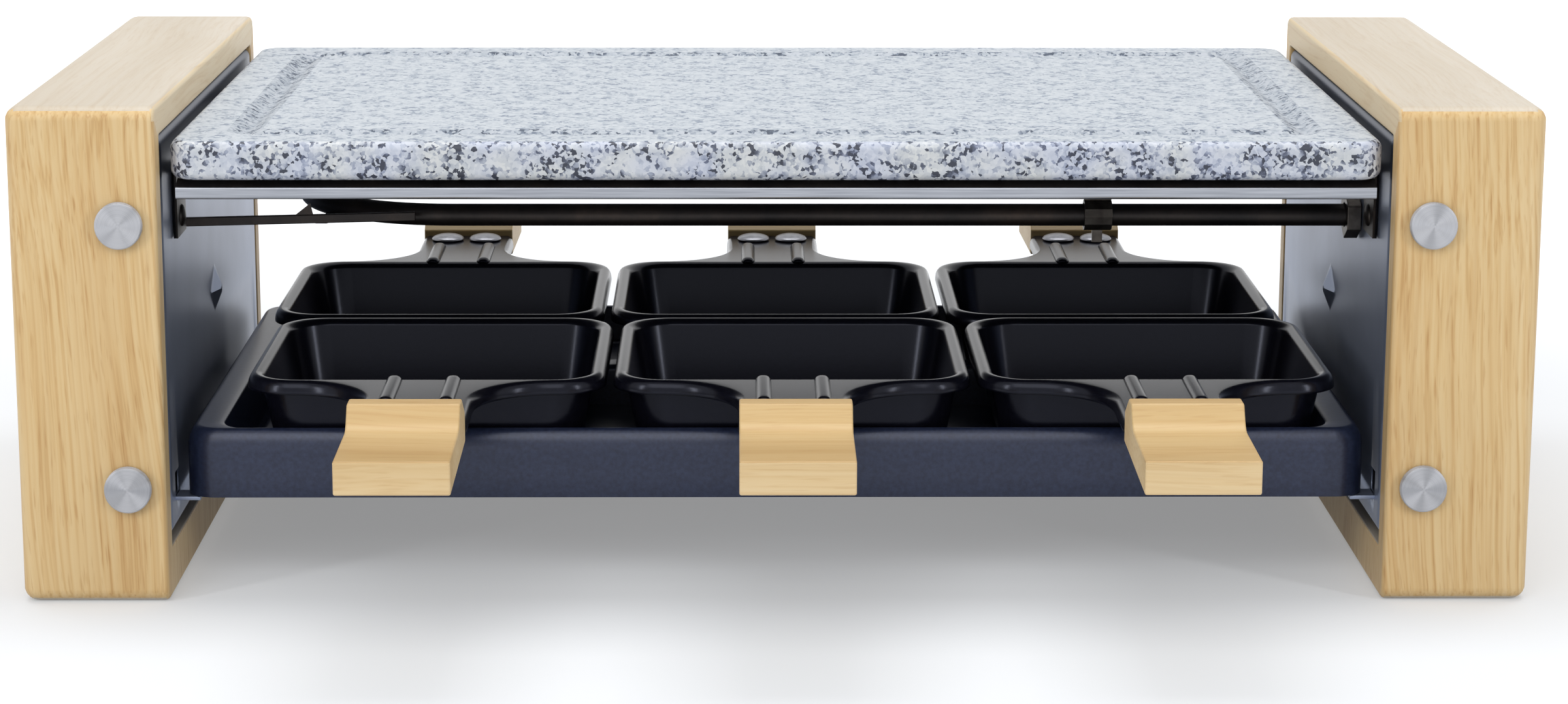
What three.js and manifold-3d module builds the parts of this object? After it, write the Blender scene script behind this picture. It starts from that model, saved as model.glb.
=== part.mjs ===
// Raclette grill for six, in millimetres: +Z up, +X to the right, the user at -Y.
// Two hollow wooden housings stand at the ends. Between them lie a granite cooking stone on two
// folded rails, one U of heating tube, and a pan deck that carries six small pans.
// The origin is on the table, under the middle of the grill.

import * as THREE from 'three';
import { mergeVertices } from 'three/addons/utils/BufferGeometryUtils.js';
import { RoundedBoxGeometry } from 'three/addons/geometries/RoundedBoxGeometry.js';
import Module from 'manifold-3d';

const wasm = await Module();
wasm.setup();

// Driving dimensions
const overallWidth = 422;
const bodyDepth = 210;
const bodyHeight = 140;
const housingThickness = 41;
const clearance = 0.3;
const overrun = 5;
const sheet = 1.2;

// Faceting, in segments
const cornerSegments = 3;
const bevelSegments = 2;
const roundSides = 12;
const headSides = 14;
const rivetSides = 8;
const tubeSides = 8;
const nutSides = 6;
const diamondSides = 4;
const foldSegments = 1;
const mergeTolerance = 1e-4;

// Shared places
const bayHalf = overallWidth / 2 - housingThickness;
const bodyHalf = bodyDepth / 2;
const stoneSetback = 3;
const stoneDepth = bodyDepth - 2 * stoneSetback;
const railSetback = 2.5;
const railWidth = 41.5;
const railFront = stoneDepth / 2 - railSetback;
const railBack = railFront - railWidth;

const grill = new THREE.Group();

function vec(x, y, z) {
  return new THREE.Vector3(x, y, z);
}

// A closed geometry as a solid that can be joined and cut.
function solid(geometry) {
  const bare = geometry.clone();
  bare.deleteAttribute('normal');
  bare.deleteAttribute('uv');
  const merged = mergeVertices(bare, mergeTolerance);
  return new wasm.Manifold(new wasm.Mesh({
    numProp: 3,
    vertProperties: Float32Array.from(merged.attributes.position.array),
    triVerts: Uint32Array.from(merged.index.array),
  }));
}

// A solid back as a geometry.
function surface(body) {
  const mesh = body.getMesh();
  const geometry = new THREE.BufferGeometry();
  geometry.setAttribute('position', new THREE.BufferAttribute(mesh.vertProperties, 3));
  geometry.setIndex(new THREE.BufferAttribute(mesh.triVerts, 1));
  geometry.computeVertexNormals();
  return geometry;
}

function join(bodies) {
  return bodies.reduce((whole, body) => whole.add(body));
}

function cut(body, tools) {
  return tools.reduce((rest, tool) => rest.subtract(tool), body);
}

// A box between two opposite corners, given in any order.
function boxBetween(a, b) {
  const size = vec(Math.abs(b.x - a.x), Math.abs(b.y - a.y), Math.abs(b.z - a.z));
  const geometry = new THREE.BoxGeometry(size.x, size.y, size.z);
  geometry.translate((a.x + b.x) / 2, (a.y + b.y) / 2, (a.z + b.z) / 2);
  return solid(geometry);
}

// A round bar from one point to another.
function rod(start, end, radius, sides = roundSides) {
  const along = end.clone().sub(start);
  const geometry = new THREE.CylinderGeometry(radius, radius, along.length(), sides);
  const turn = new THREE.Quaternion().setFromUnitVectors(vec(0, 1, 0), along.clone().normalize());
  geometry.applyQuaternion(turn);
  const middle = start.clone().add(end).multiplyScalar(1 / 2);
  geometry.translate(middle.x, middle.y, middle.z);
  return solid(geometry);
}

// A profile of [radius, height] points turned round a line that leaves `foot` towards `axis`.
function turned(profile, foot, axis, sides = roundSides) {
  const points = profile.map(([radius, height]) => new THREE.Vector2(radius, height));
  const geometry = new THREE.LatheGeometry(points, sides);
  geometry.applyQuaternion(new THREE.Quaternion().setFromUnitVectors(vec(0, 1, 0), axis));
  geometry.translate(foot.x, foot.y, foot.z);
  return solid(geometry);
}

function roundedRect(width, height, radius) {
  const x = width / 2 - radius;
  const y = height / 2 - radius;
  const shape = new THREE.Shape();
  shape.absarc(x, y, radius, 0, Math.PI / 2);
  shape.absarc(-x, y, radius, Math.PI / 2, Math.PI);
  shape.absarc(-x, -y, radius, Math.PI, 1.5 * Math.PI);
  shape.absarc(x, -y, radius, 1.5 * Math.PI, 2 * Math.PI);
  return shape;
}

// An outline in the XY plane raised to a slab from height `low` to `high`.
function slab(shape, low, high, edge = 0) {
  const geometry = new THREE.ExtrudeGeometry(shape, {
    depth: high - low - 2 * edge,
    curveSegments: cornerSegments,
    bevelEnabled: edge > 0,
    bevelSize: edge,
    bevelThickness: edge,
    bevelOffset: -edge,
    bevelSegments,
  });
  geometry.translate(0, 0, low + edge);
  return solid(geometry);
}

// A side view, drawn as [distance towards the user, height], given a width along X.
function sideProfile(shape, width, edge = 0) {
  const geometry = new THREE.ExtrudeGeometry(shape, {
    depth: width - 2 * edge,
    curveSegments: cornerSegments,
    bevelEnabled: edge > 0,
    bevelSize: edge,
    bevelThickness: edge,
    bevelOffset: -edge,
    bevelSegments,
  });
  geometry.translate(0, 0, edge - width / 2);
  geometry.applyMatrix4(new THREE.Matrix4().makeBasis(vec(0, -1, 0), vec(0, 0, 1), vec(-1, 0, 0)));
  return solid(geometry);
}

// One level ring of a pressed sheet: a rounded rectangle of points, counter-clockwise from above.
function levelRing(width, depth, radius, z, centreY) {
  const points = [];
  for (let corner = 0; corner < 4; corner++) {
    const sideX = corner === 0 || corner === 3 ? 1 : -1;
    const sideY = corner < 2 ? 1 : -1;
    for (let step = 0; step <= cornerSegments; step++) {
      const angle = (corner + step / cornerSegments) * Math.PI / 2;
      points.push(vec(
        sideX * (width / 2 - radius) + radius * Math.cos(angle),
        centreY + sideY * (depth / 2 - radius) + radius * Math.sin(angle),
        z,
      ));
    }
  }
  return points;
}

// A closed skin through rings with equal counts of points, with a flat cap at both ends.
function skinThrough(rings) {
  const count = rings[0].length;
  const top = (rings.length - 1) * count;
  const indices = [];
  for (let ring = 0; ring < rings.length - 1; ring++) {
    for (let i = 0; i < count; i++) {
      const here = ring * count + i;
      const next = ring * count + (i + 1) % count;
      indices.push(here, next, next + count);
      indices.push(here, next + count, here + count);
    }
  }
  for (let i = 1; i < count - 1; i++) {
    indices.push(0, i + 1, i);
    indices.push(top, top + i, top + i + 1);
  }
  const geometry = new THREE.BufferGeometry();
  const positions = rings.flat().flatMap((point) => [point.x, point.y, point.z]);
  geometry.setAttribute('position', new THREE.Float32BufferAttribute(positions, 3));
  geometry.setIndex(indices);
  return solid(geometry);
}

// A pressed sheet: its section, as [inset from the outline, height] points, carried round the outline.
function pressing(section, width, depth, radius, leastRadius, centreY) {
  return skinThrough(section.map(([inset, z]) => levelRing(
    width - 2 * inset,
    depth - 2 * inset,
    Math.max(radius - inset, leastRadius),
    z,
    centreY,
  )));
}

// A tube that follows a curve.
function tube(curve, radius, steps, sides) {
  const section = new THREE.Shape().absarc(0, 0, radius, 0, 2 * Math.PI);
  return solid(new THREE.ExtrudeGeometry(section, {
    steps,
    curveSegments: sides / 2,
    extrudePath: curve,
  }));
}

function add(parent, name, body, material) {
  const mesh = new THREE.Mesh(surface(body), material);
  mesh.name = name;
  parent.add(mesh);
}

function finish(color, roughness, metalness) {
  return new THREE.MeshStandardMaterial({ color, roughness, metalness });
}

const wood = finish(0xdcbb84, 0.55, 0);
const panelSteel = finish(0x8c909a, 0.35, 0.9);
const brushedSteel = finish(0xb4b4ba, 0.4, 1);
const polishedSteel = finish(0xe2e4e9, 0.2, 1);
const elementSteel = finish(0x2a2522, 0.5, 0.6);
const granite = finish(0xc9ced2, 0.5, 0);
const coatedSteel = finish(0x3b3f4b, 0.45, 0.3);
const nonStick = finish(0x16161d, 0.25, 0.2);
const ceramic = finish(0xeeeae0, 0.4, 0);
const blackPlastic = finish(0x1b1b1d, 0.5, 0);
const leadSleeve = finish(0xb8b2a2, 0.8, 0);

// The two ends are one design, turned half round for the left side.
const rightEnd = new THREE.Group();
const leftEnd = new THREE.Group();
leftEnd.rotation.z = Math.PI;
grill.add(rightEnd, leftEnd);

// Housing bolts: M5 with a flat round head, through the front and rear walls.
const boltHeadRadius = 6.5;
const boltHeadHeight = 2.4;
const boltHeadChamfer = 0.5;
const boltShankRadius = 2.5;
const boltInset = 10.3;
const boltHeights = { lower: 33, upper: bodyHeight - 32.5 };
const boltLength = 20;
const weldNutRadius = 4.6;
const weldNutHeight = 4;

// Housing: a block of beech hollowed from its inner face.
const outerWall = 12;
const endWall = 8.5;
const floorWall = 14;
const roofWall = 9;
const housingEdge = 4;
const mouthHalf = bodyHalf - endWall;
const cavityTop = bodyHeight - roofWall;
const cavityBack = bayHalf + housingThickness - outerWall;

// Holes along Y for the bolts, the same through wood and steel.
function boltHoles() {
  const reach = bodyHalf + overrun;
  return Object.values(boltHeights).map((z) => rod(
    vec(bayHalf + boltInset, -reach, z),
    vec(bayHalf + boltInset, reach, z),
    boltShankRadius + clearance,
    tubeSides,
  ));
}

function housing() {
  const block = new RoundedBoxGeometry(
    housingThickness, bodyDepth, bodyHeight, bevelSegments, housingEdge,
  );
  block.translate(bayHalf + housingThickness / 2, 0, bodyHeight / 2);
  const cavity = boxBetween(
    vec(bayHalf - overrun, -mouthHalf, floorWall),
    vec(cavityBack, mouthHalf, cavityTop),
  );
  return cut(solid(block), [cavity, ...boltHoles()]);
}

// Side panel: a folded steel tray that closes the housing's mouth, flush with the wood.
const panelBend = 3;
const panelFlange = 20;
const panelBottomGap = 2.7;
const panelHalf = mouthHalf - clearance;
const panelBottom = floorWall + panelBottomGap;
const panelTop = cavityTop - clearance;

// A diamond pressed into the panel's middle, proud on the bay side.
const bossHalfDepth = 13.5;
const bossHalfHeight = 6.5;
const bossRise = 4;
const bossDrop = 4.2;
const bossZ = (panelTop + panelBottom) / 2 - bossDrop;

// Tabs lanced out of the panel carry the pan deck by the lower edge of its skirt.
const deckSetback = 14.5;
const deckDepth = bodyDepth - 2 * deckSetback;
const deckBottom = 26.7;
const tabInset = 6.5;
const tabWidth = 8;
const tabReach = 7;
const tabY = deckDepth / 2 - tabInset;
const tabTop = deckBottom - clearance;

function diamond(offset) {
  const pyramid = new THREE.ConeGeometry(1, bossRise, diamondSides);
  pyramid.translate(0, bossRise / 2, 0);
  pyramid.scale(bossHalfHeight, 1, bossHalfDepth);
  pyramid.rotateZ(Math.PI / 2);
  pyramid.translate(bayHalf + offset, 0, bossZ);
  return solid(pyramid);
}

function panelShell(inset) {
  const width = 2 * (panelFlange - inset);
  const depth = 2 * (panelHalf - inset);
  const height = panelTop - panelBottom - 2 * inset;
  const shell = new RoundedBoxGeometry(width, depth, height, foldSegments, panelBend - inset);
  shell.translate(bayHalf + panelFlange, 0, (panelTop + panelBottom) / 2);
  return solid(shell);
}

// Windows that the tabs are bent out of, and the tabs themselves.
function tabWindow(y) {
  return boxBetween(
    vec(bayHalf - overrun, y - tabWidth / 2, tabTop),
    vec(bayHalf + overrun, y + tabWidth / 2, tabTop + tabReach),
  );
}

function tab(y) {
  return boxBetween(
    vec(bayHalf - tabReach, y - tabWidth / 2, tabTop - sheet),
    vec(bayHalf + sheet / 2, y + tabWidth / 2, tabTop),
  );
}

// Nuts welded behind the panel's front and rear flanges take the housing bolts.
function weldNuts() {
  const nuts = [];
  for (const z of Object.values(boltHeights)) {
    for (const side of [-1, 1]) {
      nuts.push(rod(
        vec(bayHalf + boltInset, side * (panelHalf - sheet / 2), z),
        vec(bayHalf + boltInset, side * (panelHalf - sheet - weldNutHeight), z),
        weldNutRadius,
        nutSides,
      ));
    }
  }
  return nuts;
}

function panel(openings) {
  const behind = boxBetween(
    vec(bayHalf + panelFlange, -bodyHalf, 0),
    vec(bayHalf + 2 * panelFlange + overrun, bodyHalf, bodyHeight),
  );
  const skin = cut(join([panelShell(0), diamond(sheet / 2)]), [
    panelShell(sheet),
    diamond(2 * sheet),
    behind,
    tabWindow(-tabY),
    tabWindow(tabY),
    ...openings,
  ]);
  return cut(join([skin, tab(-tabY), tab(tabY), ...weldNuts()]), boltHoles());
}

function housingBolt(side, z) {
  return turned([
    [0, -boltLength],
    [boltShankRadius, -boltLength],
    [boltShankRadius, 0],
    [boltHeadRadius, 0],
    [boltHeadRadius, boltHeadHeight - boltHeadChamfer],
    [boltHeadRadius - boltHeadChamfer, boltHeadHeight],
    [0, boltHeadHeight],
  ], vec(bayHalf + boltInset, side * (bodyHalf + clearance), z), vec(0, side, 0), headSides);
}

// A six-sided nut round a bar of the given radius, from `start` to `end`.
function nut(start, end, radius, hole) {
  const along = end.clone().sub(start).normalize().multiplyScalar(overrun);
  const bore = rod(start.clone().sub(along), end.clone().add(along), hole + clearance);
  return cut(rod(start, end, radius, nutSides), [bore]);
}

// Heating element: one tube bent to a U in a level plane, its open end in the right housing.
const elementRadius = 3.25;
const elementDrop = 40;
const elementZ = bodyHeight - elementDrop;
const legInset = 12;
const legHalf = railBack - legInset;
const bendInset = 30.3;
const bendCentreX = legHalf + bendInset - bayHalf;
const coldEnd = 8;
const pinRadius = 1.5;
const pinLength = 10;
const bendSteps = 8;
const elementSteps = 44;

function elementCurve() {
  const endX = bayHalf + coldEnd;
  const path = new THREE.CurvePath();
  const bend = Array.from({ length: bendSteps + 1 }, (_, step) => {
    const angle = Math.PI / 2 + step * Math.PI / bendSteps;
    return vec(bendCentreX + legHalf * Math.cos(angle), legHalf * Math.sin(angle), elementZ);
  });
  path.add(new THREE.LineCurve3(vec(endX, legHalf, elementZ), bend[0]));
  path.add(new THREE.CatmullRomCurve3(bend));
  path.add(new THREE.LineCurve3(bend[bend.length - 1], vec(endX, -legHalf, elementZ)));
  return path;
}

function heatingElement() {
  const bodies = [tube(elementCurve(), elementRadius, elementSteps, tubeSides)];
  for (const y of [-legHalf, legHalf]) {
    bodies.push(rod(
      vec(bayHalf + coldEnd - pinRadius, y, elementZ),
      vec(bayHalf + coldEnd + pinLength, y, elementZ),
      pinRadius,
      tubeSides,
    ));
  }
  return join(bodies);
}

// Collars on the bay side of the right panel, and insulators round the terminal pins behind it.
const collarRadius = 7;
const collarLength = 4;
const insulatorRadius = 4;
const insulatorLength = 5;

function elementCollar(y) {
  const face = bayHalf - clearance;
  return nut(
    vec(face - collarLength, y, elementZ),
    vec(face, y, elementZ),
    collarRadius,
    elementRadius,
  );
}

function elementInsulator(y) {
  const start = bayHalf + coldEnd + clearance;
  const bore = rod(
    vec(start - overrun, y, elementZ),
    vec(start + insulatorLength + overrun, y, elementZ),
    pinRadius + clearance,
    tubeSides,
  );
  const ring = rod(
    vec(start, y, elementZ),
    vec(start + insulatorLength, y, elementZ),
    insulatorRadius,
  );
  return cut(ring, [bore]);
}

function elementHoles() {
  return [-legHalf, legHalf].map((y) => rod(
    vec(bayHalf - overrun, y, elementZ),
    vec(bayHalf + overrun, y, elementZ),
    elementRadius + clearance,
  ));
}

// Cooking stone: a granite slab with a juice groove round its edge.
const stoneEndGap = 4;
const stoneWidth = 2 * (bayHalf - stoneEndGap);
const stoneSunk = 10;
const stoneTop = bodyHeight - stoneSunk;
const stoneThickness = 10.9;
const stoneCorner = 8;
const stoneEdge = 2.5;
const grooveInset = 14;
const grooveWidth = 9;
const grooveDepth = 1.8;
const stoneBottom = stoneTop - stoneThickness;

function cookingStone() {
  const plate = slab(roundedRect(stoneWidth, stoneDepth, stoneCorner), stoneBottom, stoneTop, stoneEdge);
  const outer = roundedRect(
    stoneWidth - 2 * grooveInset, stoneDepth - 2 * grooveInset, stoneCorner,
  );
  const innerInset = grooveInset + grooveWidth;
  outer.holes.push(roundedRect(
    stoneWidth - 2 * innerInset, stoneDepth - 2 * innerInset, stoneCorner / 2,
  ));
  return cut(plate, [slab(outer, stoneTop - grooveDepth, stoneTop + overrun)]);
}

// Rails: folded strips from panel to panel that carry the stone along its long edges.
const railEndGap = 4.5;
const railLip = 4.4;
const earWidth = 16;
const earInset = 29.5;
const earRoot = 4.5;
const earDrop = 20;
const earCentre = railFront - earInset;
const railTop = stoneBottom - clearance;
const earFace = bayHalf - clearance;

// The rivet that each ear is fixed with goes through the panel and is headed on both sides.
const rivetRadius = 1.6;
const rivetHeadRadius = 3.2;
const rivetHeadHeight = 1.2;
const rivetTailRadius = 2.6;
const rivetTailHeight = 1.2;
const rivetRise = 5.3;
const rivetZ = railTop - earDrop + rivetRise;

function earRivet(side, y) {
  const tail = sheet + 2 * clearance;
  return turned([
    [0, -sheet - rivetHeadHeight],
    [rivetHeadRadius / 2, -sheet - rivetHeadHeight],
    [rivetHeadRadius, -sheet],
    [rivetHeadRadius, -sheet / 2],
    [rivetRadius, -sheet / 2],
    [rivetRadius, tail],
    [rivetTailRadius, tail],
    [rivetTailRadius, tail + rivetTailHeight],
    [0, tail + rivetTailHeight],
  ], vec(side * earFace, y, rivetZ), vec(side, 0, 0), tubeSides);
}

function rivetHoles() {
  const reach = bayHalf + overrun;
  return [-earCentre, earCentre].map((y) => rod(
    vec(-reach, y, rivetZ),
    vec(reach, y, rivetZ),
    rivetRadius + clearance,
    tubeSides,
  ));
}

function rail() {
  const section = new THREE.Shape();
  section.moveTo(railBack, railTop - sheet);
  section.lineTo(railFront - sheet, railTop - sheet);
  section.lineTo(railFront - sheet, railTop - railLip);
  section.lineTo(railFront, railTop - railLip);
  section.lineTo(railFront, railTop - sheet);
  section.absarc(railFront - sheet, railTop - sheet, sheet, 0, Math.PI / 2);
  section.lineTo(railBack, railTop);
  const ears = [];
  for (const side of [-1, 1]) {
    const earBack = -(earCentre - earWidth / 2);
    const earFront = -(earCentre + earWidth / 2);
    ears.push(boxBetween(
      vec(side * (bayHalf - railEndGap - earRoot), earFront, railTop - sheet),
      vec(side * earFace, earBack, railTop),
    ));
    ears.push(boxBetween(
      vec(side * (earFace - sheet), earFront, railTop - earDrop),
      vec(side * earFace, earBack, railTop),
    ));
    ears.push(earRivet(side, -earCentre));
  }
  return join([sideProfile(section, 2 * (bayHalf - railEndGap)), ...ears]);
}

// Element clips: a strap round each leg, hung from the rail above it, with a short tail below.
const clipInset = 76.3;
const clipX = bayHalf - clipInset;
const clipWidth = 8;
const clipSheet = 1;
const clipTail = 4.5;
const clipTailWidth = 3;
const clipFoot = 12;

function elementClip(side) {
  const y = side * legHalf;
  const inner = elementRadius + clearance;
  const left = clipX - clipWidth / 2;
  const right = clipX + clipWidth / 2;
  const top = railTop - sheet - clearance;
  const hoop = cut(
    rod(vec(left, y, elementZ), vec(right, y, elementZ), inner + clipSheet),
    [rod(vec(left - overrun, y, elementZ), vec(right + overrun, y, elementZ), inner)],
  );
  const riser = boxBetween(
    vec(left, y - clipSheet / 2, elementZ + inner + clipSheet / 2),
    vec(right, y + clipSheet / 2, top),
  );
  const foot = boxBetween(
    vec(left, y - side * clipSheet / 2, top - clipSheet),
    vec(right, side * (railBack + clipFoot), top),
  );
  const tail = boxBetween(
    vec(clipX - clipTailWidth / 2, y - clipSheet / 2, elementZ - inner - clipTail),
    vec(clipX + clipTailWidth / 2, y + clipSheet / 2, elementZ - inner - clipSheet / 2),
  );
  return join([hoop, riser, foot, tail]);
}

// Bend support: a thin bar from the left panel, with an arm under the bend and a small hook.
// The arm runs to a little past the place where the bend crosses it.
const barThickness = 1.5;
const barHeight = 3.2;
const barStandoff = 6;
const barDrop = 0.5;
const barY = -legHalf - barStandoff;
const barZ = elementZ - barDrop;
const barSeat = 5;
const barEnd = 66;
const armInset = 38;
const armX = bayHalf - armInset;
const armWidth = 4;
const armPast = 12.7;
const armEnd = armPast - Math.sqrt(legHalf ** 2 - (armX + bendCentreX) ** 2);
const armLip = 5;
const hookRise = 5;

// The bar in the grill's own frame with turn 1, and in the left end's with turn -1.
function supportBar(turn, extra) {
  const depth = barThickness / 2 + extra;
  const height = barHeight / 2 + extra;
  return boxBetween(
    vec(-turn * (bayHalf + barSeat), turn * (barY - depth), barZ - height),
    vec(-turn * (bayHalf - barEnd), turn * (barY + depth), barZ + height),
  );
}

function bendSupport() {
  const under = elementZ - elementRadius - clearance;
  const armFront = barY - barThickness / 2;
  const arm = boxBetween(
    vec(-armX - armWidth / 2, armFront, under - sheet),
    vec(-armX + armWidth / 2, armEnd, under),
  );
  const web = boxBetween(
    vec(-armX - armWidth / 2, armFront, under - sheet),
    vec(-armX + armWidth / 2, barY + barThickness / 2, barZ),
  );
  const lip = boxBetween(
    vec(-armX - armWidth / 2, armEnd - sheet, under - sheet),
    vec(-armX + armWidth / 2, armEnd, under + armLip),
  );
  const hook = boxBetween(
    vec(-armX - armWidth / 2, armFront, barZ),
    vec(-armX - armWidth / 2 + sheet, barY + barThickness / 2, barZ + barHeight / 2 + hookRise),
  );
  return join([supportBar(1, 0), arm, web, lip, hook]);
}

// Pan deck: one pressing with a skirt folded down, a sunk floor and a ridge between the pan rows.
const deckEndGap = 3.15;
const deckWidth = 2 * (bayHalf - deckEndGap);
const deckTop = 46.2;
const deckCorner = 6.5;
const deckRim = 3.8;
const deckSink = 12;
const deckSlope = 2.3;
const deckEdge = 2.5;
const leastCorner = 2;
const ridgeWidth = 10;

function panDeck() {
  const floorZ = deckTop - deckSink;
  const bow = deckEdge * (1 - Math.SQRT1_2);
  const section = [
    [deckRim + deckSlope, floorZ - sheet],
    [deckRim - sheet, deckTop - sheet],
    [sheet, deckTop - sheet],
    [sheet, deckBottom],
    [0, deckBottom],
    [0, deckTop - deckEdge],
    [bow, deckTop - bow],
    [deckEdge, deckTop],
    [deckRim, deckTop],
    [deckRim + deckSlope, floorZ],
  ];
  const pan = pressing(section, deckWidth, deckDepth, deckCorner, leastCorner, 0);
  const ridgeHalf = deckWidth / 2 - deckRim + sheet / 2;
  const ridge = boxBetween(
    vec(-ridgeHalf, -ridgeWidth / 2, floorZ - sheet / 2),
    vec(ridgeHalf, ridgeWidth / 2, deckTop),
  );
  const hollowHalf = deckWidth / 2 - deckRim - deckSlope - sheet;
  const hollow = boxBetween(
    vec(-hollowHalf, -ridgeWidth / 2 + sheet, deckBottom),
    vec(hollowHalf, ridgeWidth / 2 - sheet, deckTop - sheet),
  );
  return cut(pan.add(ridge), [hollow]);
}

// Pans: a dish with a turned-down flange that runs out into a short neck, three a side.
// They stand on the deck's sunk floor, and are lifted over its rim.
const panCount = 3;
const panRoom = 22.9;
const panPitch = (deckWidth - panRoom) / panCount;
const panGap = 2;
const panWidth = panPitch - panGap;
const panShift = { front: 4.5, rear: 0.7 };
const panRowGap = 1.2;
const panOverhang = 1.3;
const panFront = deckDepth / 2 + panOverhang;
const panDepth = panFront - panRowGap / 2;
const panFlange = 4.2;
const panCorner = 14;
const panDraft = 11;
const panFillet = 5;
const panHeight = 26;
const panLip = 3.9;
const panLipEdge = 0.6;
const panFloor = deckTop - deckSink + clearance;
const panRim = panFloor + panHeight;

function dishSection() {
  const slope = Math.tan(THREE.MathUtils.degToRad(panDraft));
  const foot = panFlange - sheet + slope * (panHeight - sheet - panFillet);
  const innerFillet = panFillet - sheet;
  const innerFoot = panFlange + slope * (panHeight - sheet - innerFillet);
  const turn = 1 - Math.SQRT1_2;
  return [
    [foot + panFillet, panFloor],
    [foot + turn * panFillet, panFloor + turn * panFillet],
    [foot, panFloor + panFillet],
    [panFlange - sheet, panRim - sheet],
    [sheet, panRim - sheet],
    [sheet, panRim - panLip],
    [0, panRim - panLip],
    [0, panRim - panLipEdge],
    [panLipEdge, panRim],
    [panFlange, panRim],
    [innerFoot, panFloor + sheet + innerFillet],
    [innerFoot + turn * innerFillet, panFloor + sheet + turn * innerFillet],
    [innerFoot + innerFillet, panFloor + sheet],
  ];
}

// Neck: runs out of the flange with wide fillets, its edges turned down like the flange.
const neckHalf = 15.3;
const neckFillet = 24;
const neckOverlap = 2;
const neckLength = 44.9;
const neckEnd = panFront + neckLength;
const gripStart = neckEnd + clearance;

function neckOutline(inset) {
  const half = neckHalf - inset;
  const radius = neckFillet + inset;
  const front = panFront - inset;
  const shape = new THREE.Shape();
  shape.moveTo(-half - radius, -front + neckOverlap);
  shape.lineTo(-half - radius, -front);
  shape.absarc(-half - radius, -front - radius, radius, Math.PI / 2, 0, true);
  shape.lineTo(-half, -neckEnd);
  shape.lineTo(half, -neckEnd);
  shape.lineTo(half, -front - radius);
  shape.absarc(half + radius, -front - radius, radius, Math.PI, Math.PI / 2, true);
  shape.lineTo(half + radius, -front + neckOverlap);
  return shape;
}

// Two pressed ribs stiffen the neck, and two rivets beyond them hold the shank.
const ribPitch = 16.5;
const ribRadius = 2;
const ribSunk = 0.6;
const ribReach = 26.2;
const ribEnd = panFront + ribReach;
const panRivetPitch = 12.6;
const panRivetInset = 8.1;
const panRivetY = neckEnd - panRivetInset;
const panRivetRadius = 2;
const panRivetHead = 5.4;
const panRivetDome = 2;
const panRivetTail = 3.4;
const panRivetTailHeight = 1.4;

function ribs() {
  const start = panFront - panFlange;
  const above = boxBetween(
    vec(-panWidth, -ribEnd - overrun, panRim - sheet),
    vec(panWidth, 0, panRim + 2 * ribRadius),
  );
  const bars = [-1, 1].map((side) => {
    const length = ribEnd - start - ribRadius;
    const rib = new THREE.CapsuleGeometry(ribRadius, length, 1, tubeSides);
    rib.translate(side * ribPitch / 2, -(start + length / 2), panRim - ribSunk);
    return solid(rib);
  });
  return join(bars).intersect(above);
}

function panRivetHoles() {
  return [-1, 1].map((side) => rod(
    vec(side * panRivetPitch / 2, -panRivetY, panFloor),
    vec(side * panRivetPitch / 2, -panRivetY, panRim + overrun),
    panRivetRadius + clearance,
    tubeSides,
  ));
}

function panDish() {
  const centreY = -panRowGap / 2 - panDepth / 2;
  const dish = pressing(dishSection(), panWidth, panDepth, panCorner, leastCorner, centreY);
  const neck = cut(slab(neckOutline(0), panRim - panLip, panRim), [
    slab(neckOutline(sheet), panRim - panLip - overrun, panRim - sheet),
    boxBetween(
      vec(-panWidth, -panFront + sheet, panRim - panLip - overrun),
      vec(panWidth, 0, panRim - sheet),
    ),
  ]);
  return cut(join([dish, neck, ribs()]), panRivetHoles());
}

// Shank: a flat bar in the channel under the neck, riveted to it, with a tongue into the grip.
const shankThickness = 1.5;
const shankHalf = 12.5;
const shankLap = 17.7;
const shankStart = neckEnd - shankLap;
const tongueHalf = 8;
const tongueLength = 45;
const tongueEnd = gripStart + tongueLength;
const shankTop = panRim - sheet - clearance;
const shankBottom = shankTop - shankThickness;

function screwHole(low, radius) {
  return rod(vec(0, -screwY, low), vec(0, -screwY, shankTop + overrun), radius, tubeSides);
}

function panShank() {
  const bar = join([
    boxBetween(
      vec(-shankHalf, -shankStart, shankBottom),
      vec(shankHalf, -gripStart + clearance, shankTop),
    ),
    boxBetween(
      vec(-tongueHalf, -shankStart, shankBottom),
      vec(tongueHalf, -tongueEnd, shankTop),
    ),
  ]);
  return join([
    cut(bar, [screwHole(shankBottom - overrun, screwRadius + clearance)]),
    panRivet(-1),
    panRivet(1),
  ]);
}

function panRivet(side) {
  const seat = panRim + clearance;
  const low = shankBottom - seat;
  return turned([
    [0, low - panRivetTailHeight],
    [panRivetTail, low - panRivetTailHeight],
    [panRivetTail, low],
    [panRivetRadius, low],
    [panRivetRadius, 0],
    [panRivetHead, 0],
    [panRivetHead * Math.SQRT1_2, panRivetDome * Math.SQRT1_2],
    [0, panRivetDome],
  ], vec(side * panRivetPitch / 2, -panRivetY, seat), vec(0, 0, 1), rivetSides);
}

// Grip: a wooden wave with a raised stop for the finger, slotted for the tongue.
const gripLength = 52;
const gripEnd = gripStart + gripLength;
const gripWidth = 30;
const gripEdge = 0.8;
const gripBottom = 52.3;
const gripHeel = 54;
const gripBack = 62.5;
const gripCrest = 68;
const gripTop = 61.6;
const crestRamp = 9;
const crestLength = 6;
const crestFall = 4;
const heelLength = 13;
const crestStart = gripStart + crestRamp;
const crestEnd = crestStart + crestLength;
const crestFoot = crestEnd + crestFall;
const heelEnd = gripStart + heelLength;

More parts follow.
